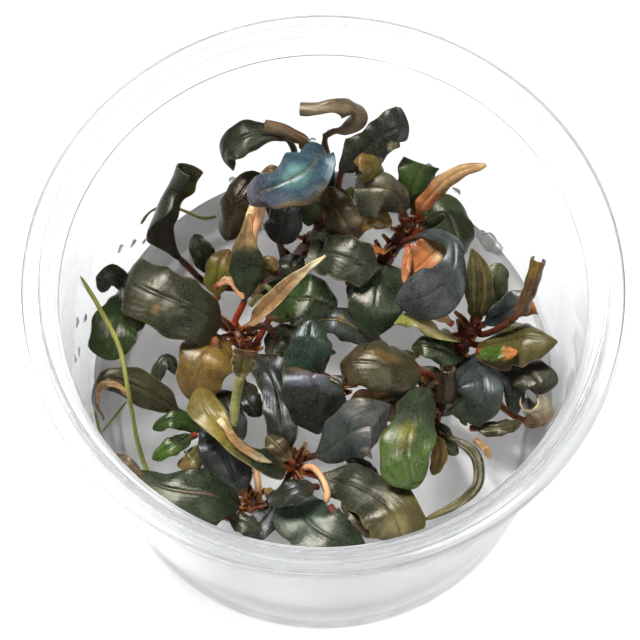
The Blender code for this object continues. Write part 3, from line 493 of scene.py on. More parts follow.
        1.2, [(2, -7, 24.6), (2.5, -5, 28), (2.5, -4, 31)],
        leaf("blue", 9.6,
             [(1.4, -2.2, 31), (-0.8, -2.4, 34), (-2.2, -1.5, 37), (-2.2, 1.5, 39.6), (-1.9, 5, 40)],
             face=(0, -0.4, 0.9), cup=[-40, -50, -70], outline=[0.5, 0.95, 0.9, 0.7, 0.5], wave=0.2,
             base="teal", tip="forest", rib="teal"),
        leaf("blue", 10.6,
             [(1, -6.6, 31), (-0.3, -5.2, 35), (-1.4, -4.7, 39), (-1.9, -5.3, 40.8), (-1.7, -7.3, 40.2),
              (-1.4, -9.7, 37.8), (-1.1, -11.7, 35), (-0.9, -13.1, 32.5)],
             face=[(0, 0.8, 0.6), (0, 0.6, 0.8), (0, 0, 1), (0, -0.4, 1)], cup=[-10, -15, -30],
             stalk=0.2, outline=[0.5, 0.8, 1, 1.05, 1, 0.75, 0.35], wave=0.15, base="black_slate",
             rib="slate",
             # Both marks are painted sheen along the fold where the leaf arches over, one gold-brown and
             # one lavender.
             marks=[(0.34, 0, 0.09, 0.9, "gold_brown"), (0.42, 0.1, 0.07, 0.8, "lavender")]),
    ),
    "south": make_plantlet(
        1.3, [(-5, -15, 24.6), (-5.2, -17, 28), (-4.5, -18.8, 31)],
        leaf("slate", 10.4,
             [(-3.2, -17, 31.5), (0.2, -17.4, 35), (4, -15.8, 39.3), (6.8, -15, 41), (8.8, -14.9, 41),
              (9.8, -15.1, 38.4)], face=(0.1, -0.2, 1), cup=[-60, -40, -30], stalk=0.2,
             outline=[0.15, 0.55, 0.82, 0.98, 1, 0.9], cut=True, wave=0.15, base="blue_slate",
             tip="purple_slate", rib="slate"),
        leaf("olive", 10.6,
             [(-2.7, -19.8, 31), (1.5, -22, 34), (5.4, -23.7, 36.2), (9.2, -26.5, 38.2),
              (11.7, -29.5, 39), (13, -32.4, 37.6), (13.3, -33.8, 35.6)], cup=[-40, -50, -40],
             stalk=0.15, outline=[(0.2, 0.3), (0.7, 0.6), 0.8, 0.95, 1, 0.9], base="slate", tip="olive",
             # The khaki mark near the tip is painted sparkle.
             tip_from=0.6, rib="dark_olive", marks=[(0.86, 0.1, 0.12, 0.5, "khaki")]),
        leaf("slate", 10.4,
             [(-4.6, -21.2, 30.5), (-4.4, -26.2, 32.4), (-1.4, -30.6, 34.4), (3, -33.2, 34.6),
              (7.2, -34.4, 33)], cup=-40, stalk=0.1, outline=[0.3, 0.9, 1, 0.95, 0.5], wave=0.4,
             base="teal", tip="forest", rib="slate"),
        leaf("gold", 5.8,
             [(-6.3, -19.2, 32), (-8.6, -20.2, 37), (-11.8, -20.2, 40.6), (-14.7, -19, 42.6),
              (-17.3, -16.2, 43.5), (-19.9, -12.6, 43.5), (-21.2, -8.2, 41.6)],
             cup=[-30, -40, 50, 80, 30, -20, -40], stalk=0.06,
             outline=[0.4, 0.9, (0.95, 0.85), (0.65, 0.5), (0.6, 0.5), 0.85, 1, 0.85], wave=0.15,
             base="forest", tip="olive_gold", tip_from=0.5, under="peach", rib="dark_olive",
             edge="khaki"),
        leaf("black", 5.0,
             [(-6.5, -20.3, 29.5), (-7.4, -24, 31), (-10.2, -28.8, 31), (-13.6, -31.4, 30)], cup=-40,
             stalk=0.3, base="black_green"),
    ),
    "south_west": make_plantlet(
        1.3, [(-12, -22.5, 24.6), (-12, -24, 27.5), (-12.3, -25.5, 30)],
        leaf("slate", 9.2,
             [(-14.2, -26, 30), (-15.6, -25.9, 34.6), (-19, -26.2, 38.4), (-23.8, -25.9, 39.4),
              (-28.2, -24.4, 38.4), (-31.6, -21.3, 36.2)], cup=[-20, -40, -40], stalk=0.08,
             outline=[0.15, 0.6, 0.95, 1, 0.85, 0.55, 0.3], wave=0.25, base="forest", tip="brown",
             tip_from=0.96, rib="slate", marks=[(0.48, 0, 0.2, 0.05, "pink")]),
        leaf("blue", 8.4,
             [(-13.5, -23.7, 30.5), (-15.5, -21, 34), (-17.8, -16.8, 36.5), (-19.6, -11.8, 36)],
             cup=-40, stalk=0.12, outline=[0.5, 0.95, 1, 0.8, 0.5], base="navy", rib="slate"),
    ),
    "middle_west": make_plantlet(
        1.2, [(-19, -11, 24.6), (-20, -9.5, 27), (-21, -7.5, 28)],
        leaf("brown", 6.2,
             [(-22.5, -9.3, 28.8), (-24.8, -9.2, 32.6), (-28.6, -8, 37), (-33, -6.8, 40.2),
              (-37, -6.2, 41), (-39.2, -7.4, 38.8), (-39.1, -9.6, 35.6), (-37.9, -10.9, 33.4)],
             tip_face=(-0.8, -0.2, 0.4), cup=[-60, -70, -50], stalk=0.2,
             outline=[0.3, 0.75, 1, 1, 0.7, 0.4, 0.35, 0.3], wave=0.25, base="dark_olive", tip="brown",
             tip_from=0.75, rib="brown", edge="khaki", foot="dark_olive"),
        leaf("cream", 4.2,
             [(-17.6, -13.2, 27.5), (-15.9, -12, 31), (-15, -8, 36), (-14, -4.8, 40.6),
              (-13.2, -2, 43.4)], face=(0.2, -0.3, 0.9), cup=[40, -50], stalk=0.78,
             outline=[0.4, 0.85, 1, 1], cut=True, wave=0.1, petiole=0.85, base="olive", tip="brown",
             foot="pale_green"),
    ),
    "west": make_plantlet(
        1.4, [(-12, 2.5, 24.6), (-13.5, 4.5, 28), (-15.5, 6.5, 31)],
        leaf("gold", 10.0,
             [(-16.3, 4.3, 30.5), (-17.6, 3.2, 33.4), (-19.2, 1.3, 37), (-20.5, -0.9, 38.3),
              (-21.4, -3.4, 37.4), (-21.9, -5.8, 35.2), (-22.1, -7.5, 32.8)], cup=[-30, -40, -40, -50],
             stalk=0.12,
             outline=[(0.5, 0.5), (0.95, 0.9), (1.2, 0.95), (1.1, 0.85), (0.85, 0.75), (0.5, 0.5)],
             wave=0.4, base="gold_brown", tip="dark_gold", rib="brown",
             marks=[(0.35, 0.7, 0.25, 0.35, "dark_olive")]),
        leaf("slate", 12.0,
             [(-17.6, 6.7, 32.5), (-18.8, 5.9, 37.6), (-20.6, 5.6, 41.6), (-25, 6.8, 44),
              (-29.5, 8.7, 44.2), (-33, 11, 43), (-34.4, 12.1, 40.4)], face=(0.05, -0.2, 1),
             cup=[-30, -50, -40, -50], stalk=0.15,
             outline=[(0.4, 0.4), (0.9, 0.7), (1, 0.8), (1, 0.85), (0.9, 0.85), (0.7, 0.75)], cut=True,
             base="slate_brown", rib="slate", marks=[(0.62, -0.45, 0.03, 0.2, "dark_gold")]),
        leaf("green", 8.2,
             [(-17, 8.4, 29), (-25, 10.8, 32.6), (-31, 10.2, 37.2), (-34.6, 6.2, 39.8),
              (-36.3, 2, 40.8), (-36.9, -2, 39)], cup=-30, stalk=0.5, outline=[0.3, 0.85, 1, 1, 0.8],
             base="mid_green"),
        leaf("green", 6.0,
             [(-15.3, 8.6, 32.5), (-13.7, 10.2, 36), (-13.3, 12.6, 39.4), (-13.3, 15.6, 42.4),
              (-13.3, 18.6, 45), (-12.6, 22, 46.8)], face=(0, -0.7, 0.7), cup=[-20, -30, 30, 90],
             stalk=0.26, outline=[0.1, 0.7, 1, 0.85, 0.4, 0.25], wave=0.1, base="forest", tip="tan",
             tip_from=0.72, rib="dark_red"),
        leaf("peach", 3.4,
             [(-13.3, 7, 31.5), (-11.9, 7, 35), (-8.8, 8.8, 39.4), (-5.6, 11, 42.2), (-2.6, 13.2, 43.8),
              (0.4, 15.3, 44)], cup=[120, 100, 60, 40], stalk=0.1,
             outline=[0.35, 0.8, 1, 0.8, 0.45, 0.25], wave=0.15, base="tan", tip="cream", under="tan",
             rib="peach"),
        leaf("black", 6.2,
             [(-12.2, 2.6, 30), (-10.8, 0, 33), (-8.7, -3.6, 34.8), (-7.4, -8.4, 34.6),
              (-7.1, -12.8, 33.8), (-8.1, -16.2, 31.4)], cup=-40, stalk=0.15,
             outline=[0.4, (1, 0.9), (0.8, 0.9), (0.95, 1), 0.95, 0.6], wave=0.7, base="black_slate",
             edge="khaki"),
        leaf("green", 10.5, [(-11.4, 5.6, 28), (-7.5, 11.2, 32), (-2.6, 11, 35), (2.4, 10.5, 33)],
             stalk=0.3, base="mid_green", tip="forest"),
    ),
}

# The long green root stalk, which lies over the western leaves and runs down to the gel
ROOT_STALK = [(-41, 7.3, 54.5), (-37.5, 2.5, 50), (-34.5, -3, 47), (-33, -10, 41), (-32, -14, 29),
              (-30, -19, 24.2)]


def small_leaf(tone, width, path, cup=-50, **look):
    """A little leaf, most of it blade; look is as for leaf."""
    return leaf(tone, width, path, cup=cup, stalk=0.1, outline=[0.4, 0.9, 1, 0.85, 0.5], wave=0.35,
                **look)


# Leaves that are half hidden, torn or too small for the solid model
SMALL_LEAVES = [
    small_leaf("green", 5, [(-2, 28.6, 38), (-2.2, 27.4, 41.6), (-2.4, 25.8, 40), (-2.6, 24.1, 37)]),
    small_leaf("green", 2.5, [(3.2, 27, 34), (3.8, 28.2, 37), (4.5, 29.5, 38.6), (5, 30.5, 39)],
               base="bright_green"),
    small_leaf("gold", 4.8,
               [(9.2, 27.6, 43), (8.9, 28.6, 47.6), (7.8, 29.4, 50.8), (6.4, 29.8, 52),
                (5.4, 29.9, 51.2)], base="gold_green", tip="gold_brown", tip_from=0.6, edge="khaki"),
    small_leaf("gold", 5, [(2.6, 22.8, 36), (5.6, 23.6, 39.6), (9, 23.8, 41.6), (12, 22.4, 41)],
               tip="gold_brown", rib="brown"),
    small_leaf("peach", 7.4,
               [(14.8, 13.8, 37.6), (17.2, 15.4, 40), (19.6, 17.2, 41.2), (21.6, 19, 40.6)], cup=70,
               base="salmon", tip="gold", tip_from=0.6, frill=0.5, edge="orange"),
    small_leaf("peach", 1.8, [(14.8, 19, 39.6), (14.5, 15.4, 40.6), (14.1, 11.9, 40)], base="salmon"),
    small_leaf("green", 5, [(23.5, 2.5, 29.5), (22.5, 1.5, 33), (18, 2.5, 34.5), (15.4, 2.6, 33)]),
    small_leaf("green", 3, [(27, 0.4, 37), (28.6, -1, 40), (31, -1.6, 41.4), (33.2, -1.2, 41)],
               base="bright_green", tip="orange", tip_from=0.7, edge="gold", frill=0.5),
    small_leaf("peach", 2.2, [(22.4, 5.6, 36.6), (19.4, 6.8, 38.6), (16.4, 7, 38.4)], base="tan",
               edge="pink"),
    small_leaf("brown", 2.4,
               [(-30.4, -22.6, 36), (-33, -20.6, 37.8), (-34.6, -19, 37.2), (-33.8, -18.2, 35.6)],
               base="taupe"),
    small_leaf("cream", 1.3,
               [(-33, -8.8, 40.4), (-35.8, -7.4, 42), (-38, -7.8, 41), (-38.6, -9.4, 37.6)],
               base="tan"),
    small_leaf("peach", 2, [(10.2, -11.3, 31), (11, -13, 33.4), (11.6, -14.4, 32.6)], base="orange"),
    small_leaf("peach", 1.8, [(15.6, -2, 32), (17, -3, 34), (18.1, -3.8, 33)], base="tan",
               edge="orange"),
    small_leaf("cream", 1.4, [(22.6, -6.7, 27), (24, -8.6, 28.4), (24.9, -9.8, 27.6)],
               base="gold_brown"),
    small_leaf("cream", 1.4, [(26.5, -13.2, 29), (28, -15, 30.6), (28.8, -16.6, 29.6)], base="tan"),
    small_leaf("cream", 2, [(-10.1, -22.3, 29), (-8.8, -23.4, 30.6), (-7.5, -24.1, 30)], base="gold"),
    small_leaf("cream", 1.8, [(-9.6, -25, 29), (-8.4, -26.4, 30.6), (-7.2, -27.7, 30)], base="cream"),
    small_leaf("peach", 2, [(6.6, 20.6, 34), (8.4, 19.6, 36.4), (10.4, 19.8, 36)], base="orange"),
    small_leaf("black", 4.5, [(27, 0, 28), (28.1, -1.2, 32), (32.4, -4.1, 35), (33.4, -9.4, 32)]),
    small_leaf("olive", 3, [(25.6, -11.2, 30), (30.3, -11.9, 32), (34.3, -10.4, 31)],
               base="dark_olive"),
    small_leaf("green", 3.8, [(19.5, -9.5, 29), (21.1, -14.3, 33), (23.1, -16.8, 32)], edge="peach"),
    small_leaf("brown", 3, [(18.9, -12.8, 33), (20, -17, 34), (18.9, -20.5, 32)], base="gold_brown"),
    small_leaf("black", 4, [(3.8, -17.9, 34), (6.5, -20, 34.4), (9.5, -21.6, 33)]),
    small_leaf("brown", 3.5, [(3, -24.5, 33), (5.5, -28.4, 35), (8.1, -32.4, 34)], base="dark_brown"),
    small_leaf("black", 4.5, [(-0.9, -23.6, 35), (-4.3, -24.9, 37.5), (-9.5, -26.3, 35)]),
    small_leaf("slate", 3.6, [(-16.5, -27.8, 31), (-13.5, -29.2, 32), (-10.6, -30, 31)]),
    small_leaf("olive", 1.8, [(-21, -29.4, 29), (-18.2, -28, 31), (-15.9, -26.4, 31)]),
    small_leaf("green", 3.5,
               [(-19.5, -12, 30), (-23, -11.6, 34), (-26.4, -11.8, 36), (-29.3, -12.8, 34)],
               base="mid_green", foot="pink"),
    small_leaf("green", 3.5, [(-21.9, -13.5, 33), (-25.6, -15.9, 35), (-29.3, -17.9, 33)],
               tip="bright_green", tip_from=0.4),
    small_leaf("olive", 4, [(-20.9, -15, 32), (-22.5, -18.1, 34), (-24.9, -18.8, 32)], rib="khaki"),
    small_leaf("black", 5, [(-18, -4.4, 30), (-17.4, -6, 32.4), (-16, -9.5, 33.6), (-13.9, -13.8, 31)]),
    small_leaf("slate", 2.6,
               [(-29.4, -6, 33), (-28.6, -2.6, 35), (-26.9, -0.6, 35.4), (-25.4, -2.7, 34)]),
    small_leaf("slate", 4,
               [(-34.2, 10.6, 37), (-35.6, 13.4, 39.6), (-37.6, 12.6, 40.6), (-38.4, 10.6, 39)]),
    small_leaf("gold", 5, [(-18.6, 13.4, 29), (-18.6, 15.4, 33), (-18, 18, 34.4), (-16.5, 20.6, 34)],
               base="gold_green", tip="dark_gold", rib="brown"),
    small_leaf("olive", 3, [(-11, 15, 33), (-9.5, 17, 37), (-8, 16, 36)]),
    small_leaf("blue", 6, [(11, 4.4, 29), (7, 5.6, 33), (2.4, 7, 35), (-2.4, 7.6, 33)],
               base="dark_slate", marks=[(0.6, 0.2, 0.05, 0.2, "gold_brown")]),
    small_leaf("slate", 5.4, [(-4.6, 8.4, 28), (-7.4, 5.4, 31), (-9, 1.6, 30)], base="dark_slate"),
    small_leaf("green", 5, [(4.4, 16.4, 29), (6.6, 13, 32.6), (6.2, 9.6, 31)]),
    small_leaf("slate", 5, [(-3.6, 20.6, 31), (-5.4, 17.6, 35), (-4.2, 14.6, 34)], base="black_green"),
    small_leaf("green", 5, [(-2.4, 24, 33), (0.8, 21.4, 36.6), (2.2, 18.6, 35)]),
    small_leaf("black", 4.6, [(-14, -1.6, 28), (-13, -5.8, 31), (-10.8, -9, 30)]),
    small_leaf("slate", 5, [(20.8, -0.6, 29), (18.6, -2.6, 33), (17.4, -5.2, 33)], base="dark_olive"),
    small_leaf("green", 4.6, [(3.4, -9.6, 28), (5.4, -12.4, 31), (9.6, -13.4, 30)]),
    small_leaf("black", 4.6, [(-14.8, -22.4, 28), (-18.4, -20.4, 31), (-22.6, -20, 30)]),
    small_leaf("gold", 3, [(-21.8, 4.6, 34.6), (-19.8, 2.6, 36.8), (-17.8, 0.6, 36)], base="orange",
               tip="brown"),
    small_leaf("slate", 4.5, [(-19.2, 17.4, 28), (-21.4, 21.8, 31), (-22.7, 25.2, 30)],
               base="grey_green"),
    small_leaf("peach", 1.8,
               [(-18.6, 12.3, 37), (-16.9, 13, 38.4), (-15.5, 12.6, 38.4), (-13.8, 10, 37.4)]),
    small_leaf("brown", 2, [(-10.9, 27.6, 46.6), (-9.3, 29.6, 48.4), (-7.1, 29.3, 47.6)]),
    small_leaf("cream", 1.7,
               [(-17.6, -14.6, 43.9), (-14.9, -18.2, 43.4), (-11.9, -20, 41.4), (-9, -20.4, 38.4)],
               cup=40, foot="cream", edge="tan"),
    small_leaf("brown", 4, [(-5.2, -18.6, 33), (-7.6, -16.6, 35.6), (-9.6, -14.4, 34.4)],
               base="bronze"),
    small_leaf("black", 4.2, [(12.6, -1, 29), (9.6, 1.2, 32), (6.4, 2, 31)]),
    small_leaf("green", 4, [(16.4, 2.8, 29), (13.6, 1, 31.6), (11.6, -1.2, 30.4)]),
    small_leaf("black", 4.4, [(-24.4, 11.6, 29), (-27.6, 15, 32), (-30.2, 17, 30.6)]),
    small_leaf("green", 4, [(30.6, 6.4, 30), (33.6, 5.6, 32.6), (36, 4.4, 31)]),
]

# Bare petioles and straps: path, radius and the slot of their skin
PETIOLES = [
    ([(-12.4, 12, 33), (-14.3, 18, 38), (-12.9, 22.5, 42.4), (-11.9, 25.6, 43.6)], 0.85, "leaf_cream"),
    ([(-11.6, 12, 34), (-12.2, 19, 39.6), (-10.8, 24, 43.4), (-9.5, 28, 44)], 0.75, "leaf_peach"),
    ([(-12.8, 10.8, 32), (-11.2, 11.8, 34), (-9.2, 10.8, 33)], 0.5, "leaf_lime"),
    ([(-11.4, 13.8, 32), (-9.8, 13.6, 34), (-8.3, 11.8, 33)], 0.45, "leaf_lime"),
    ([(-11.8, -19, 29), (-11.5, -19.9, 31), (-11.2, -22.2, 31.4), (-11, -24.6, 29.6)], 0.6, "leaf_peach"),
    ([(-3.4, -19.2, 32), (-1.9, -19.7, 34), (-0.5, -21.9, 36), (0.7, -24.7, 36), (0.5, -26.6, 35)], 0.55,
     "leaf_peach"),
    ([(0.9, -26.8, 34.6), (2, -28, 34), (3, -29.4, 32.4)], 0.7, "stem_skin"),
    ([(-11.4, -23.3, 26), (-9, -26.4, 29), (-6.7, -29.6, 28)], 0.8, "stem_skin"),
    ([(-24.4, 8.4, 30), (-20.8, 7.6, 34), (-17.8, 7.2, 32.4)], 0.6, "leaf_peach"),
    ([(-7.4, 3.6, 29), (-9.8, 6.6, 33), (-13.4, 6.4, 31)], 0.6, "stem_skin"),
]

# Thin roots on the gel and along the wall: path and radius
ROOTS = [
    ([(-40, -2.7, 25), (-39.9, -6.6, 24.2), (-38.9, -10.5, 23.4)], 0.22),
    ([(-34.5, -4.2, 24.4), (-36.4, -7, 24.6), (-38.7, -9.6, 23.6)], 0.22),
    ([(-32.1, 25.5, 34), (-30.2, 28.6, 33), (-26, 29.4, 32), (-21.5, 28, 31), (-18.8, 28.7, 30)], 0.3),
    ([(-8, 10, 24.2), (-4, 13.6, 24.6), (1.6, 14, 23.6)], 0.25),
    ([(8, -7.6, 23.8), (12.6, -12, 24.4), (13.4, -18.6, 23.4)], 0.25),
    ([(-14, -3, 23.8), (-19.6, -1.4, 24.2), (-26, 3.2, 23.6)], 0.25),
]

# Fine mould edges on the rim and ledge, drawn as thin grey rings of painted shade: radius of the line,
# height and half thickness
MOULD_EDGE_SHADE_LINES = [(43.9, 64.3, 0.09), (45.4, 68.3, 0.05), (46.7, 70.2, 0.08), (48.3, 69.95, 0.07),
               (49.86, 69.0, 0.1), (49.86, 67.9, 0.1)]

# Water on the far inner wall: angle in degrees, height and radius
WALL_DROPS = [
    (144.7, 29.3, 0.8), (149.2, 33, 0.9), (141, 25.5, 0.6), (113.4, 26.3, 0.7), (111, 25, 0.5),
    (92.6, 34.4, 0.7), (88, 37.5, 0.9), (89, 29.4, 0.6), (81, 43.6, 0.8), (83, 30.9, 0.7),
    (72, 36.5, 0.8), (75.5, 26, 0.6), (62.8, 33.3, 0.8), (54.8, 29.9, 0.9), (176, 44, 0.9),
    (181, 40, 0.8), (186, 46, 0.7), (171, 37, 0.8),
]

# Lumps of clear gel at the far edge: place and radius
GEL_LUMPS = [((29.6, 26.6, 24), 1.5), ((31.2, 25.4, 23.8), 1.1), ((28.4, 27.8, 23.7), 0.9)]


def linear(name):
    """A named colour as linear red, green, blue and alpha."""
    channels = [value / 255 for value in COLOURS[name]]
    return (*[c / 12.92 if c <= 0.04045 else ((c + 0.055) / 1.055) ** 2.4 for c in channels], 1.0)


class Nodes:
    """A material under construction, with short calls for the nodes used here."""

    def __init__(self, name):
        self.material = bpy.data.materials.new(name)
        self.material.use_nodes = True
        self.tree = self.material.node_tree
        self.shader = self.tree.nodes["Principled BSDF"]

    def add(self, kind, inputs, output=0, **settings):
        """One output of a new node of a kind, with its inputs fed and its settings made."""
        node = self.tree.nodes.new("ShaderNode" + kind)
        for key, value in settings.items():
            setattr(node, key, value)
        for key, value in inputs.items():
            self.feed(node.inputs[key], value)
        return node.outputs[output]

    def feed(self, socket, value):
        """A link or a plain value, put into a socket."""
        if isinstance(value, bpy.types.NodeSocket):
            self.tree.links.new(value, socket)
        else:
            socket.default_value = value

    def math(self, operation, first, second=0.0):
        """One step of arithmetic on one or two values."""
        return self.add("Math", {0: first, 1: second}, operation=operation)

    def ramp(self, value, low, high, to_low=0.0, to_high=1.0):
        """value smoothly taken from low..high to to_low..to_high."""
        inputs = {"Value": value, "From Min": low, "From Max": high, "To Min": to_low, "To Max": to_high}
        return self.add("MapRange", inputs, interpolation_type="SMOOTHSTEP")

    def swayed(self, value, cloud, amount):
        """value moved by a noise's distance from its middle, times an amount."""
        return self.math("ADD", value, self.math("MULTIPLY", self.math("SUBTRACT", cloud, 0.5), amount))

    def mix(self, factor, first, second, blend="MIX"):
        """Two colours mixed by a factor."""
        inputs = {0: factor, 6: first, 7: second}
        return self.add("Mix", inputs, output=2, data_type="RGBA", blend_type=blend)

    def noise(self, per_mm, detail=3.0):
        """Noise with about per_mm features in a millimetre."""
        place = self.add("TexCoord", {}, output="Object")
        return self.add("TexNoise", {"Vector": place, "Scale": per_mm / MM, "Detail": detail})

    def bump(self, height, rise, below=None):
        """A normal bumped by a height field, rise in millimetres."""
        inputs = {"Height": height, "Distance": rise * MM, "Strength": 1.0}
        if below is not None:
            inputs["Normal"] = below
        return self.add("Bump", inputs)

    def finish(self, **values):
        """The finished material, with values put into the shader's inputs of those names."""
        for name, value in values.items():
            self.feed(self.shader.inputs[name.replace("_", " ")], value)
        return self.material


def leaf_material(name, spec):
    """Satin leaf skin painted by the place on the leaf: base, tip, midrib, margin, underside, and marks,
    some of them painted highlights and sheen.

    Dark clouds, a fine grain and pale gold specks break the colour up, and
    faint side veins show in the skin's relief.
    """
    look = spec["look"]
    colours = {part: linear(look[part]) for part in LOOK_PARTS}
    nodes = Nodes(name)
    place = nodes.add("Attribute", {}, output="Vector", attribute_name="leaf_place")
    parts = nodes.tree.nodes.new("ShaderNodeSeparateXYZ")
    nodes.feed(parts.inputs[0], place)
    along, across, upper = parts.outputs
    from_rib = nodes.math("ABSOLUTE", across)
    clouds = nodes.noise(CLOUDS_PER_MM)
    blotches = nodes.noise(BLOTCHES_PER_MM, 4.0)
    grain = nodes.noise(GRAIN_PER_MM, 1.0)
    drifted = nodes.swayed(along, clouds, CLOUD_DRIFT)
    tip_from = look["tip_from"]
    colour = nodes.mix(nodes.ramp(drifted, tip_from - TIP_FADE[0], tip_from + TIP_FADE[1]),
                       colours["base"], colours["tip"])
    colour = nodes.mix(nodes.ramp(clouds, *WARM_CLOUDS, 0.0, WARM_SHARE), colour, linear("dark_olive"))
    ragged = nodes.swayed(from_rib, blotches, EDGE_RAGGEDNESS)
    colour = nodes.mix(nodes.ramp(ragged, *EDGE_FADE, 0.0, EDGE_STRENGTH), colour, colours["edge"])
    # Marks: patches of their own colour, and on some leaves painted highlights and sheen
    for mark_along, mark_across, long, wide, mark_colour in look["marks"]:
        off_along = nodes.math("DIVIDE", nodes.math("SUBTRACT", along, mark_along), long)
        off_across = nodes.math("DIVIDE", nodes.math("SUBTRACT", across, mark_across), wide)
        off = nodes.math("SQRT", nodes.math("ADD", nodes.math("POWER", off_along, 2.0),
                                            nodes.math("POWER", off_across, 2.0)))
        off = nodes.swayed(off, blotches, MARK_RAGGEDNESS)
        colour = nodes.mix(nodes.ramp(off, *MARK_FADE, MARK_STRENGTH, 0.0), colour, linear(mark_colour))
    colour = nodes.mix(nodes.ramp(from_rib, *RIB_LINE, RIB_STRENGTH, 0.0), colour, colours["rib"])
    colour = nodes.mix(nodes.ramp(upper, *UNDERSIDE_FADE, 1.0, 0.0), colour, colours["under"])
    colour = nodes.mix(nodes.ramp(along, *FOOT_FADE, 1.0, 0.0), colour, colours["foot"])
    shade = nodes.math("MULTIPLY", nodes.ramp(clouds, *NOISE_SPAN, *CLOUD_SHADES),
                       nodes.ramp(blotches, *NOISE_SPAN, *BLOTCH_SHADES))
    shade = nodes.math("MULTIPLY", shade, nodes.ramp(grain, *GRAIN_SPAN, *GRAIN_SHADES))
    colour = nodes.mix(1.0, colour, nodes.add("CombineColor", {0: shade, 1: shade, 2: shade}), "MULTIPLY")
    colour = nodes.mix(nodes.ramp(grain, *SPECK_LEVELS, 0.0, SPECK_STRENGTH), colour, linear("khaki"))
    fan = nodes.math("ADD", nodes.math("MULTIPLY", from_rib, VEIN_FAN[0]),
                     nodes.math("MULTIPLY", along, VEIN_FAN[1]))
    skin = nodes.bump(nodes.math("SINE", fan), VEIN_RELIEF)
    skin = nodes.bump(blotches, BLOTCH_RELIEF, skin)
    skin = nodes.bump(grain, GRAIN_RELIEF, skin)
    roughness = nodes.ramp(clouds, *GLOSS_CLOUDS, *LEAF_ROUGHNESS)
    return nodes.finish(Base_Color=colour, Roughness=roughness, Normal=skin, IOR=LEAF_IOR,
                        Specular_IOR_Level=LEAF_SPECULAR, Coat_Weight=LEAF_COAT,
                        Specular_Tint=SHEENS.get(spec["tone"], WARM_SHEEN),
                        Coat_Roughness=LEAF_COAT_ROUGHNESS)


def unit_rows(vectors):
    """Each row of vectors at length 1."""
    return vectors / np.linalg.norm(vectors, axis=-1, keepdims=True)


def unit(vector):
    """One vector at length 1."""
    return vector / np.linalg.norm(vector)


def catmull(stops, places):
    """A Catmull-Rom curve through stops at even numbers, read at places from 0 to 1."""
    stops = np.array(stops, dtype=float)
    padded = np.concatenate([[2 * stops[0] - stops[1]], stops, [2 * stops[-1] - stops[-2]]])
    spot = np.clip(places, 0, 1) * (len(stops) - 1)
    start = np.minimum(spot.astype(int), len(stops) - 2)
    step = spot - start
    if stops.ndim > 1:
        step = step[:, None]
    before, first, second, after = (padded[start + shift] for shift in range(4))
    return 0.5 * (2 * first + (second - before) * step
                  + (2 * before - 5 * first + 4 * second - after) * step ** 2
                  + (3 * first - before - 3 * second + after) * step ** 3)


def smooth_path(points, shares):
    """Points at the given shares of the length of a smooth curve through the points."""
    fine = catmull(points, np.linspace(0, 1, PATH_STEPS * (len(points) - 1) + 1))
    along = np.concatenate([[0], np.cumsum(np.linalg.norm(np.diff(fine, axis=0), axis=1))])
    wanted = np.asarray(shares) * along[-1]
    return np.stack([np.interp(wanted, along, fine[:, axis]) for axis in range(3)], axis=1)


def along_blade(value, blade):
    """One value, or stops from the blade's foot to its tip, read at places along the blade."""
    return catmull(value, blade) if type(value) is list else np.full(len(blade), float(value))


def blade_outline(spec, blade):
    """The shares of the full width left and right of the midrib at places along the blade."""
    if not spec["outline"]:
        share = (blade / WIDEST) ** (SWELL_POWER * WIDEST)
        share *= ((1 - blade) / (1 - WIDEST)) ** (SWELL_POWER * (1 - WIDEST))
        return np.stack([share, share], axis=1)
    stops = np.array([stop if type(stop) is tuple else (stop, stop) for stop in spec["outline"]], float)
    evenly = np.linspace(0, 1, len(stops))
    straight = np.stack([np.interp(blade, evenly, side) for side in stops.T], axis=1)
    shares = np.clip((straight + catmull(stops, blade)) / 2, *OUTLINE_RANGE)
    ends = np.sqrt(np.clip(blade / FOOT_ROUNDING, 0, 1))
    if not spec["cut"]:
        into_tip = np.clip((blade - 1 + TIP_ROUNDING) / TIP_ROUNDING, 0, 1)
        ends *= np.sqrt(1 - into_tip ** 2)
    return shares * ends[:, None]


def path_frame(path, shares):
    """Centres and unit tangents along a smooth path."""
    ahead = smooth_path(path, np.clip(shares + TANGENT_REACH, 0, 1))
    behind = smooth_path(path, np.clip(shares - TANGENT_REACH, 0, 1))
    return smooth_path(path, shares), unit_rows(ahead - behind)


def ring_places():
    """Round the section: place across the blade, and 1 above, 0 below, one half at the margins."""
    half = np.array([-place for place in reversed(ACROSS)] + list(ACROSS[1:]))
    across = np.concatenate([half[::-1], half[1:-1]])
    upper = np.concatenate([np.ones(len(half)), np.zeros(len(half) - 2)])
    upper[0] = upper[len(half) - 1] = 0.5
    return across, upper


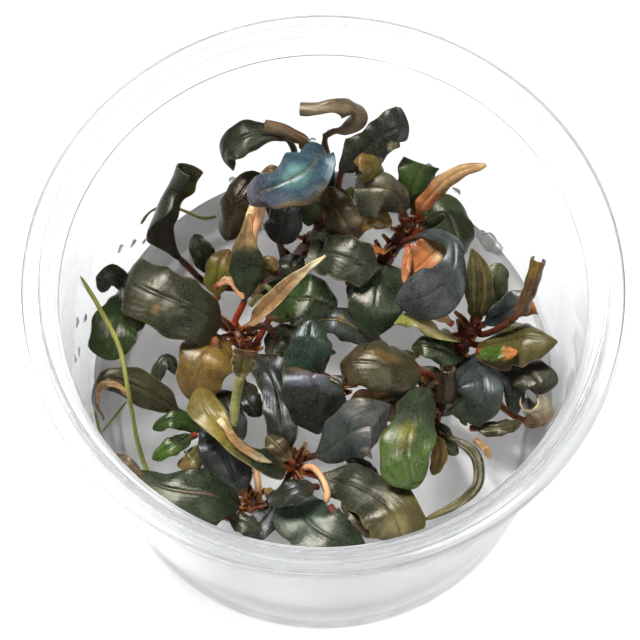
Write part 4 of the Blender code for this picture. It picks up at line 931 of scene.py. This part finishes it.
def leaf_points(spec, path, stations, seed):
    """Points of the leaf's rings in millimetres, and their place on the leaf."""
    stalk = spec["stalk"]
    blade_shares = np.sin(np.linspace(0, math.pi / 2, stations)) ** STATION_CROWDING
    petiole_stations = stations // BLADE_RINGS_PER_PETIOLE_RING
    places = np.concatenate([np.linspace(0, stalk, petiole_stations, endpoint=False),
                             stalk + (1 - stalk) * blade_shares])
    centres, tangents = path_frame(path, places)
    blade = np.clip((places - stalk) / (1 - stalk), 0, 1)
    faces = unit_rows(catmull(spec["faces"], places))
    normals = unit_rows(faces - tangents * np.sum(faces * tangents, axis=1, keepdims=True))
    sides = np.cross(tangents, normals)

    swells = blade_outline(spec, blade)
    wobble = [np.sin(blade * rate + seed * side) for side, rate in enumerate(WOBBLE_RATES, start=1)]
    swells = swells * (1 + MARGIN_WOBBLE * np.stack(wobble, axis=1))
    flatten = np.minimum(1.0, blade / FLAT_FROM)
    least = np.maximum(spec["petiole"] * (1 - flatten), TIP_HALF_WIDTH)
    left, right = np.maximum(least[:, None], spec["width"] / 2 * swells).T
    half_bend = (np.radians(along_blade(spec["cup"], blade)) / 2 * flatten)[:, None]
    across, upper = ring_places()
    across, upper = across[None, :], upper[None, :]
    half_width = np.where(across < 0, left[:, None], right[:, None])

    bend = across * half_bend
    bent = np.abs(half_bend) > STRAIGHT_BELOW
    safe_bend = np.where(bent, half_bend, 1.0)
    sideways = half_width * np.where(bent, np.sin(bend) / safe_bend, across)
    raised = half_width * np.where(bent, (1 - np.cos(bend)) / safe_bend, 0.0)

    swell, flatten, blade = swells.mean(axis=1)[:, None], flatten[:, None], blade[:, None]
    ripple = spec["wave"] * swell * across ** 2 * np.sin(2 * math.pi * MARGIN_WAVES * blade + across)
    frill_turns = FRILL_TURNS + FRILL_TURNS_SPREAD * math.sin(seed)
    frill_phase = 2 * math.pi * frill_turns * blade + seed + FRILL_SIDE_SHIFT * np.sign(across)
    frill = spec["look"]["frill"] * swell * across ** 4 * np.sin(frill_phase)

    roundness = PETIOLE_ROUNDNESS + (BLADE_ROUNDNESS - PETIOLE_ROUNDNESS) * flatten
    thickness = spec["petiole"] + (BLADE_HALF_THICKNESS - spec["petiole"]) * flatten
    edge = np.sqrt(np.clip(1 - np.abs(across) ** roundness, 0, 1))
    rib = np.exp(-(across * half_width / RIB_HALF_WIDTH) ** 2) * flatten
    rib *= np.clip((1 - blade) * RIB_FADE, 0, 1)
    sign = np.where(upper > 0.5, 1.0, -1.0)
    thick = sign * thickness * edge * np.where(upper == 0.5, 0.0, 1.0) - RIB_DEPTH * rib

    points = (centres[:, None, :] + sides[:, None, :] * (sideways - np.sin(bend) * thick)[..., None]
              + normals[:, None, :] * (raised + ripple + frill + np.cos(bend) * thick)[..., None])
    bumps = np.array([[noise.noise(Vector(point / BUMP_SIZE)) for point in ring] for ring in points])
    lift = BUMP_HEIGHT * bumps * flatten
    points += normals[:, None, :] * lift[..., None]

    along = np.where(places < stalk, (places - stalk) / stalk, blade[:, 0])
    spot = np.stack([np.broadcast_to(along[:, None], bumps.shape), np.broadcast_to(across, bumps.shape),
                     np.broadcast_to(upper, bumps.shape)], axis=-1)
    return points, spot


def loft(rings):
    """Faces of a closed tube through rings of equal count, capped at both ends."""
    count, around = rings.shape[:2]
    faces = []
    for ring in range(count - 1):
        for index in range(around):
            following = (index + 1) % around
            faces.append((ring * around + index, (ring + 1) * around + index,
                          (ring + 1) * around + following, ring * around + following))
    faces.append(tuple(range(around)))
    faces.append(tuple(reversed(range((count - 1) * around, count * around))))
    return faces


def make_piece(name, points, faces, material, spots=None):
    """A smooth mesh object in metres that rides on the cup's body."""
    mesh = bpy.data.meshes.new(name)
    mesh.from_pydata((np.reshape(points, (-1, 3)) * MM).tolist(), [], faces)
    if spots is not None:
        attribute = mesh.attributes.new("leaf_place", "FLOAT_VECTOR", "POINT")
        attribute.data.foreach_set("vector", np.reshape(spots, -1).astype(np.float32))
    mesh.shade_smooth()
    mesh.materials.append(material)
    piece = bpy.data.objects.new(name, mesh)
    bpy.context.scene.collection.objects.link(piece)
    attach(piece, "root")
    return piece


def nearest_on_path(path, point):
    """The point of a polyline that lies nearest to a given point."""
    best = None
    for start, end in zip(path, path[1:]):
        start, end = np.array(start, float), np.array(end, float)
        share = np.clip((point - start).dot(end - start) / (end - start).dot(end - start), 0, 1)
        found = start + (end - start) * share
        if best is None or np.linalg.norm(found - point) < np.linalg.norm(best - point):
            best = found
    return best


def seated_path(spec, plantlet):
    """The leaf's path with its foot run into the stem's side."""
    first = np.array(spec["path"][0], float)
    heart = nearest_on_path(plantlet["stem"], first)
    foot = heart + unit(first - heart) * (plantlet["radius"] + STEM_GAP)
    seat = heart + unit(first - heart) * plantlet["radius"] * SEAT_DEPTH
    return [tuple(seat), tuple(foot), *spec["path"][1:]]


def turned(name, profile, material):
    """A closed solid of revolution about Z from a section in millimetres."""
    mesh = bpy.data.meshes.new(name)
    points = [(radius * MM, 0, height * MM) for radius, height in profile]
    mesh.from_pydata(points, [(i, i + 1) for i in range(len(points) - 1)], [])
    mesh.materials.append(material)
    piece = bpy.data.objects.new(name, mesh)
    bpy.context.scene.collection.objects.link(piece)
    screw = piece.modifiers.new("turn", "SCREW")
    screw.axis = "Z"
    screw.angle = 2 * math.pi
    screw.steps = TURN_STEPS
    screw.render_steps = TURN_STEPS
    screw.use_merge_vertices = True
    screw.merge_threshold = MERGE_DISTANCE
    screw.use_smooth_shade = True
    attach(piece, "root")
    return piece


def cup_profile():
    """The cup's section: from the floor's centre up inside, over the rim, down outside."""
    panel = FLOOR_PANEL_RADIUS
    rise = FLOOR_PANEL_RISE
    return [
        (0, rise + WALL), (panel, rise + WALL), (panel + 1, WALL), (FOOT_RADIUS - 2.2, WALL),
        (FOOT_RADIUS - 0.9, 2.0), (GEL_RADIUS_AT_TOP, GEL_TOP), (LEDGE_RADIUS, LEDGE_HEIGHT),
        (46.0, 69.6), (RIM_INNER_RADIUS, RIM_HEIGHT), (FLANGE_RADIUS, RIM_HEIGHT - 0.4),
        (48.6, RIM_HEIGHT - 0.5), (RIM_RADIUS - 0.4, RIM_HEIGHT - 1.1),
        (RIM_RADIUS, RIM_HEIGHT - 1.5), (RIM_RADIUS, RIM_UNDERSIDE),
        (RIM_RADIUS - 0.7, RIM_UNDERSIDE), (RIM_RADIUS - 0.8, RIM_HOLLOW), (FLANGE_RADIUS, 69.0),
        (46.7, RIM_HOLLOW), (LEDGE_RADIUS + WALL, LEDGE_HEIGHT - 0.3),
        (GEL_RADIUS_AT_TOP + WALL, GEL_TOP),
        (FOOT_RADIUS, 1.6), (FOOT_RADIUS - 0.5, 0.4), (FOOT_RADIUS - 1.6, 0), (panel + 1.6, 0),
        (panel + 0.6, rise), (0, rise),
    ]


def gel_profile():
    """The gel's section: from the top's centre out to the wall, down and back to the axis."""
    panel = FLOOR_PANEL_RADIUS
    rise = FLOOR_PANEL_RISE
    gap = CONTACT_GAP
    return [
        (0, GEL_TOP), (GEL_RADIUS_AT_TOP - 1.6, GEL_TOP), (GEL_RADIUS_AT_TOP - 0.4, GEL_TOP + 0.3),
        (FOOT_RADIUS - 1.2 - gap, 2.0 + gap), (FOOT_RADIUS - 2.3 - gap, WALL + gap),
        (panel + 1.2, WALL + gap), (panel, rise + WALL + gap), (0, rise + WALL + gap),
    ]


def clear_plastic():
    """Clear moulded plastic, faintly milky, with fine flow marks."""
    nodes = Nodes("clear_plastic")
    flow = nodes.noise(PLASTIC_FLOW_PER_MM)
    roughness = nodes.ramp(flow, *NOISE_SPAN, *PLASTIC_ROUGHNESS)
    colour = nodes.mix(nodes.ramp(flow, *NOISE_SPAN), *PLASTIC_COLOURS)
    return nodes.finish(Base_Color=colour, Roughness=roughness, IOR=PLASTIC_IOR,
                        Normal=nodes.bump(flow, PLASTIC_RELIEF), Transmission_Weight=PLASTIC_CLEARNESS)


def mould_edge_shade_line():
    """Painted shade: the thin grey line that a moulded edge shows in clear plastic, as a ring of its own.
    """
    nodes = Nodes("mould_edge_shade_line")
    flow = nodes.noise(MOULD_EDGE_FLOW_PER_MM, 2.0)
    colour = nodes.mix(nodes.ramp(flow, *MOULD_EDGE_SPAN), *MOULD_EDGE_SHADE_COLOURS)
    return nodes.finish(Base_Color=colour, Roughness=MOULD_EDGE_ROUGHNESS, IOR=PLASTIC_IOR,
                        Transmission_Weight=MOULD_EDGE_CLEARNESS)


def clear_gel(name, clearness):
    """Firm clear gel or water, faintly grey, with a soft gloss."""
    nodes = Nodes(name)
    swirl = nodes.noise(GEL_SWIRLS_PER_MM)
    colour = nodes.mix(nodes.ramp(swirl, *NOISE_SPAN), *GEL_COLOURS)
    return nodes.finish(Base_Color=colour, Roughness=GEL_ROUGHNESS, IOR=GEL_IOR,
                        Normal=nodes.bump(swirl, GEL_RELIEF), Transmission_Weight=clearness)


def skin_material(name, main, other, per_mm):
    """Stem, root or petiole skin of two colours in clouds, with a fine grain."""
    nodes = Nodes(name)
    clouds = nodes.noise(per_mm, 4.0)
    grain = nodes.noise(STEM_GRAIN_PER_MM, 2.0)
    colour = nodes.mix(nodes.ramp(clouds, *STEM_CLOUDS), linear(main), linear(other))
    shine = nodes.ramp(grain, *NOISE_SPAN, *STEM_ROUGHNESS)
    return nodes.finish(Base_Color=colour, Roughness=shine, Coat_Weight=STEM_COAT,
                        Normal=nodes.bump(grain, STEM_GRAIN_RELIEF))


def tube_points(path, radius, stations, around, roughen):
    """Rings of a round stem or root, with rounded ends and an uneven skin."""
    shares = np.linspace(0, 1, stations)
    centres, tangents = path_frame(path, shares)
    steep = np.abs(tangents[:, 2:]) > STEEP_FROM
    helper = np.where(steep, np.array([[1.0, 0.0, 0.0]]), np.array([[0.0, 0.0, 1.0]]))
    sides = unit_rows(np.cross(tangents, helper))
    ups = np.cross(tangents, sides)
    into_end = np.clip(1 - np.minimum(shares, 1 - shares) * END_SHARPNESS, 0, 1)
    ends = np.sqrt(np.clip(1 - into_end ** 2, LEAST_END, 1))
    rings = []
    for centre, side, above, end in zip(centres, sides, ups, ends):
        ring = []
        for number in range(around):
            angle = 2 * math.pi * number / around
            direction = side * math.cos(angle) + above * math.sin(angle)
            lump = 1 + roughen * noise.noise(Vector((centre + direction * radius) / LUMP_SIZE))
            ring.append(centre + direction * radius * end * lump)
        rings.append(ring)
    return np.array(rings)


def make_tube(name, path, radius, rings, material):
    """A stem, petiole or root as one piece."""
    points = tube_points(path, radius, *rings)
    return make_piece(name, points, loft(points), material)


def crown_scales(plantlet, seed):
    """Papery sheaths in a spiral round a stem, as one set of points, faces and places on the leaf."""
    chance = random.Random(seed)
    all_points, all_faces, all_spots = [], [], []
    for number in range(CROWN_SCALES):
        share = 1 - CROWN_REACH * number / CROWN_SCALES
        angle = number * GOLDEN_ANGLE + seed
        out = np.array([math.cos(angle), math.sin(angle), 0.0])
        length = chance.uniform(*CROWN_LENGTHS)
        reach = length * chance.uniform(*CROWN_LEANS)
        foot = smooth_path(plantlet["stem"], [share])[0] + out * plantlet["radius"] * CROWN_SEAT
        middle = foot + out * reach * CROWN_MIDDLE[0] + np.array([0, 0, length * CROWN_MIDDLE[1]])
        tip = foot + out * reach + np.array([0, 0, length * CROWN_TIP_RISE])
        spec = leaf("brown", chance.uniform(*CROWN_WIDTHS), [foot, middle, tip], cup=CROWN_CUP,
                    face=tuple(np.array([0, 0, 0.5]) - out), stalk=0.05, outline=CROWN_OUTLINE,
                    wave=0.1)
        points, spots = leaf_points(spec, spec["path"], SHEATH_STATIONS, number)
        first = sum(len(ring) for ring in all_points) * points.shape[1]
        all_faces += [tuple(corner + first for corner in face) for face in loft(points)]
        all_points.append(points)
        all_spots.append(spots)
    return np.concatenate(all_points), all_faces, np.concatenate(all_spots)


def make_drops(name, drops, material):
    """Domes of water or gel in one mesh: each its centre and its radii inwards, sideways and up."""
    mesh = bmesh.new()
    for place, radii in drops:
        turn = Matrix.Rotation(math.atan2(place[1], place[0]), 4, "Z")
        shape = Matrix.Translation(place) @ turn @ Matrix.Diagonal((*radii, 1.0))
        bmesh.ops.create_icosphere(mesh, subdivisions=DOME_DETAIL, radius=1.0, matrix=shape)
    for vertex in mesh.verts:
        vertex.co += vertex.normal * noise.noise(vertex.co) * DOME_LUMPS
    points = np.array([vertex.co for vertex in mesh.verts])
    faces = [tuple(vertex.index for vertex in face.verts) for face in mesh.faces]
    mesh.free()
    return make_piece(name, points, faces, material)


def wall_radius(height):
    """The cup's inner radius above the gel."""
    taper = (LEDGE_RADIUS - GEL_RADIUS_AT_TOP) / (LEDGE_HEIGHT - GEL_TOP)
    return GEL_RADIUS_AT_TOP + (height - GEL_TOP) * taper


def wall_drop(angle, height, size):
    """A drop on the cup's inner wall: its centre, and its radii inwards, sideways and up."""
    reach = wall_radius(height) - DROP_SINK
    turn = math.radians(angle)
    return (reach * math.cos(turn), reach * math.sin(turn), height), [size * part for part in DROP_SHAPE]


def make_stage():
    """Plain pale floor, white surroundings and two soft lights."""
    floor_mesh = bpy.data.meshes.new("floor")
    reach = FLOOR_REACH
    corners = [(-reach, -reach), (reach, -reach), (reach, reach), (-reach, reach)]
    floor_mesh.from_pydata([(*corner, -FLOOR_DROP) for corner in corners], [], [(0, 1, 2, 3)])
    floor = bpy.data.objects.new("floor", floor_mesh)
    bpy.context.scene.collection.objects.link(floor)
    nodes = Nodes("floor_white")
    floor_mesh.materials.append(nodes.finish(Base_Color=FLOOR_COLOUR, Roughness=FLOOR_ROUGHNESS,
                                             Emission_Color=WHITE, Emission_Strength=FLOOR_GLOW))

    world = bpy.data.worlds.new("studio")
    world.use_nodes = True
    background = world.node_tree.nodes["Background"]
    background.inputs["Color"].default_value = WHITE
    background.inputs["Strength"].default_value = SURROUNDINGS
    bpy.context.scene.world = world

    for name, place, size, power in LIGHTS:
        light = bpy.data.lights.new(name, "AREA")
        light.size = size
        light.energy = power
        lamp = bpy.data.objects.new(name, light)
        lamp.location = place
        lamp.rotation_euler = (Vector(LIGHT_TARGET) - lamp.location).to_track_quat("-Z", "Y").to_euler()
        bpy.context.scene.collection.objects.link(lamp)


def make_camera():
    """The camera, where the photograph was taken from."""
    camera = bpy.data.cameras.new("camera")
    camera.sensor_width = CAMERA_SENSOR
    camera.lens = CAMERA_LENS
    camera.clip_start, camera.clip_end = CAMERA_CLIPS
    holder = bpy.data.objects.new("camera", camera)
    place = Vector(CAMERA_PLACE) * MM
    holder.location = place
    holder.rotation_euler = (Vector(CAMERA_TARGET) * MM - place).to_track_quat("-Z", "Y").to_euler()
    bpy.context.scene.collection.objects.link(holder)
    bpy.context.scene.camera = holder


make_camera()
make_stage()
bpy.context.scene.view_settings.view_transform = "Standard"

cup = turned("cup_shell", cup_profile(), clear_plastic())
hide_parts("cup")
gel_skin = clear_gel("culture_gel", GEL_CLEARNESS)
gel = turned("gel_disc", gel_profile(), gel_skin)
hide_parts("gel")

skins = {
    "stem_skin": skin_material("stem_skin", "dark_red", "brown", 0.8),
    "root_skin": skin_material("root_skin", "lime", "gold_green", 0.08),
    "leaf_cream": skin_material("cream_petiole", "tan", "cream", 0.3),
    "leaf_peach": skin_material("salmon_petiole", "peach", "tan", 0.3),
    "leaf_lime": skin_material("pale_petiole", "pale_green", "khaki", 0.3),
}
sheath_look = leaf("brown", 1, [], base="dark_red", tip="gold_brown", tip_from=0.75, under="red",
                   foot="dark_red", rib="red", edge="gold")
sheath_skin = leaf_material("sheath_skin", sheath_look)
seed = 0
for place_name, plantlet in PLANTLETS.items():
    stem = make_tube("rhizome_" + place_name, plantlet["stem"], plantlet["radius"], STEM_RINGS,
                     skins["stem_skin"])
    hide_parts("stem_" + place_name)
    points, faces, spots = crown_scales(plantlet, len(place_name))
    make_piece("sheaths_" + place_name, points, faces, sheath_skin, spots)
    for index, spec in enumerate(plantlet["leaves"], start=1):
        label = f"{place_name}_{index}"
        seed += 1
        points, spots = leaf_points(spec, seated_path(spec, plantlet), BLADE_STATIONS, seed)
        skin = leaf_material("skin_" + label, spec)
        piece = make_piece("blade_" + label, points, loft(points), skin, spots)
        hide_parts("leaf_" + label)

for number, spec in enumerate(SMALL_LEAVES, start=1):
    points, spots = leaf_points(spec, spec["path"], SMALL_STATIONS, number)
    skin = leaf_material(f"skin_small_{number}", spec)
    make_piece(f"small_blade_{number}", points, loft(points), skin, spots)
for number, (path, radius, slot) in enumerate(PETIOLES, start=1):
    make_tube(f"petiole_{number}", path, radius, PETIOLE_RINGS, skins[slot])
for number, (path, radius) in enumerate(ROOTS, start=1):
    make_tube(f"root_{number}", path, radius, ROOT_RINGS, skins["root_skin"])

# Thin grey rings of painted shade at the rim's and ledge's mould edges
edge_shade_skin = mould_edge_shade_line()
for number, (radius, height, thickness) in enumerate(MOULD_EDGE_SHADE_LINES, start=1):
    circle = [(radius + thickness * math.cos(angle), height + thickness * math.sin(angle))
              for angle in np.linspace(0, 2 * math.pi, MOULD_EDGE_POINTS)]
    turned(f"mould_edge_shade_line_{number}", circle, edge_shade_skin)

stalk = make_tube("green_stalk", ROOT_STALK, ROOT_STALK_RADIUS, ROOT_STALK_RINGS, skins["root_skin"])
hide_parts("root_stalk")

water = clear_gel("water", WATER_CLEARNESS)
make_drops("wall_drops", [wall_drop(*drop) for drop in WALL_DROPS], water)
lumps = [(place, (size, size, size * GEL_LUMP_FLATNESS)) for place, size in GEL_LUMPS]
make_drops("gel_lumps", lumps, water)
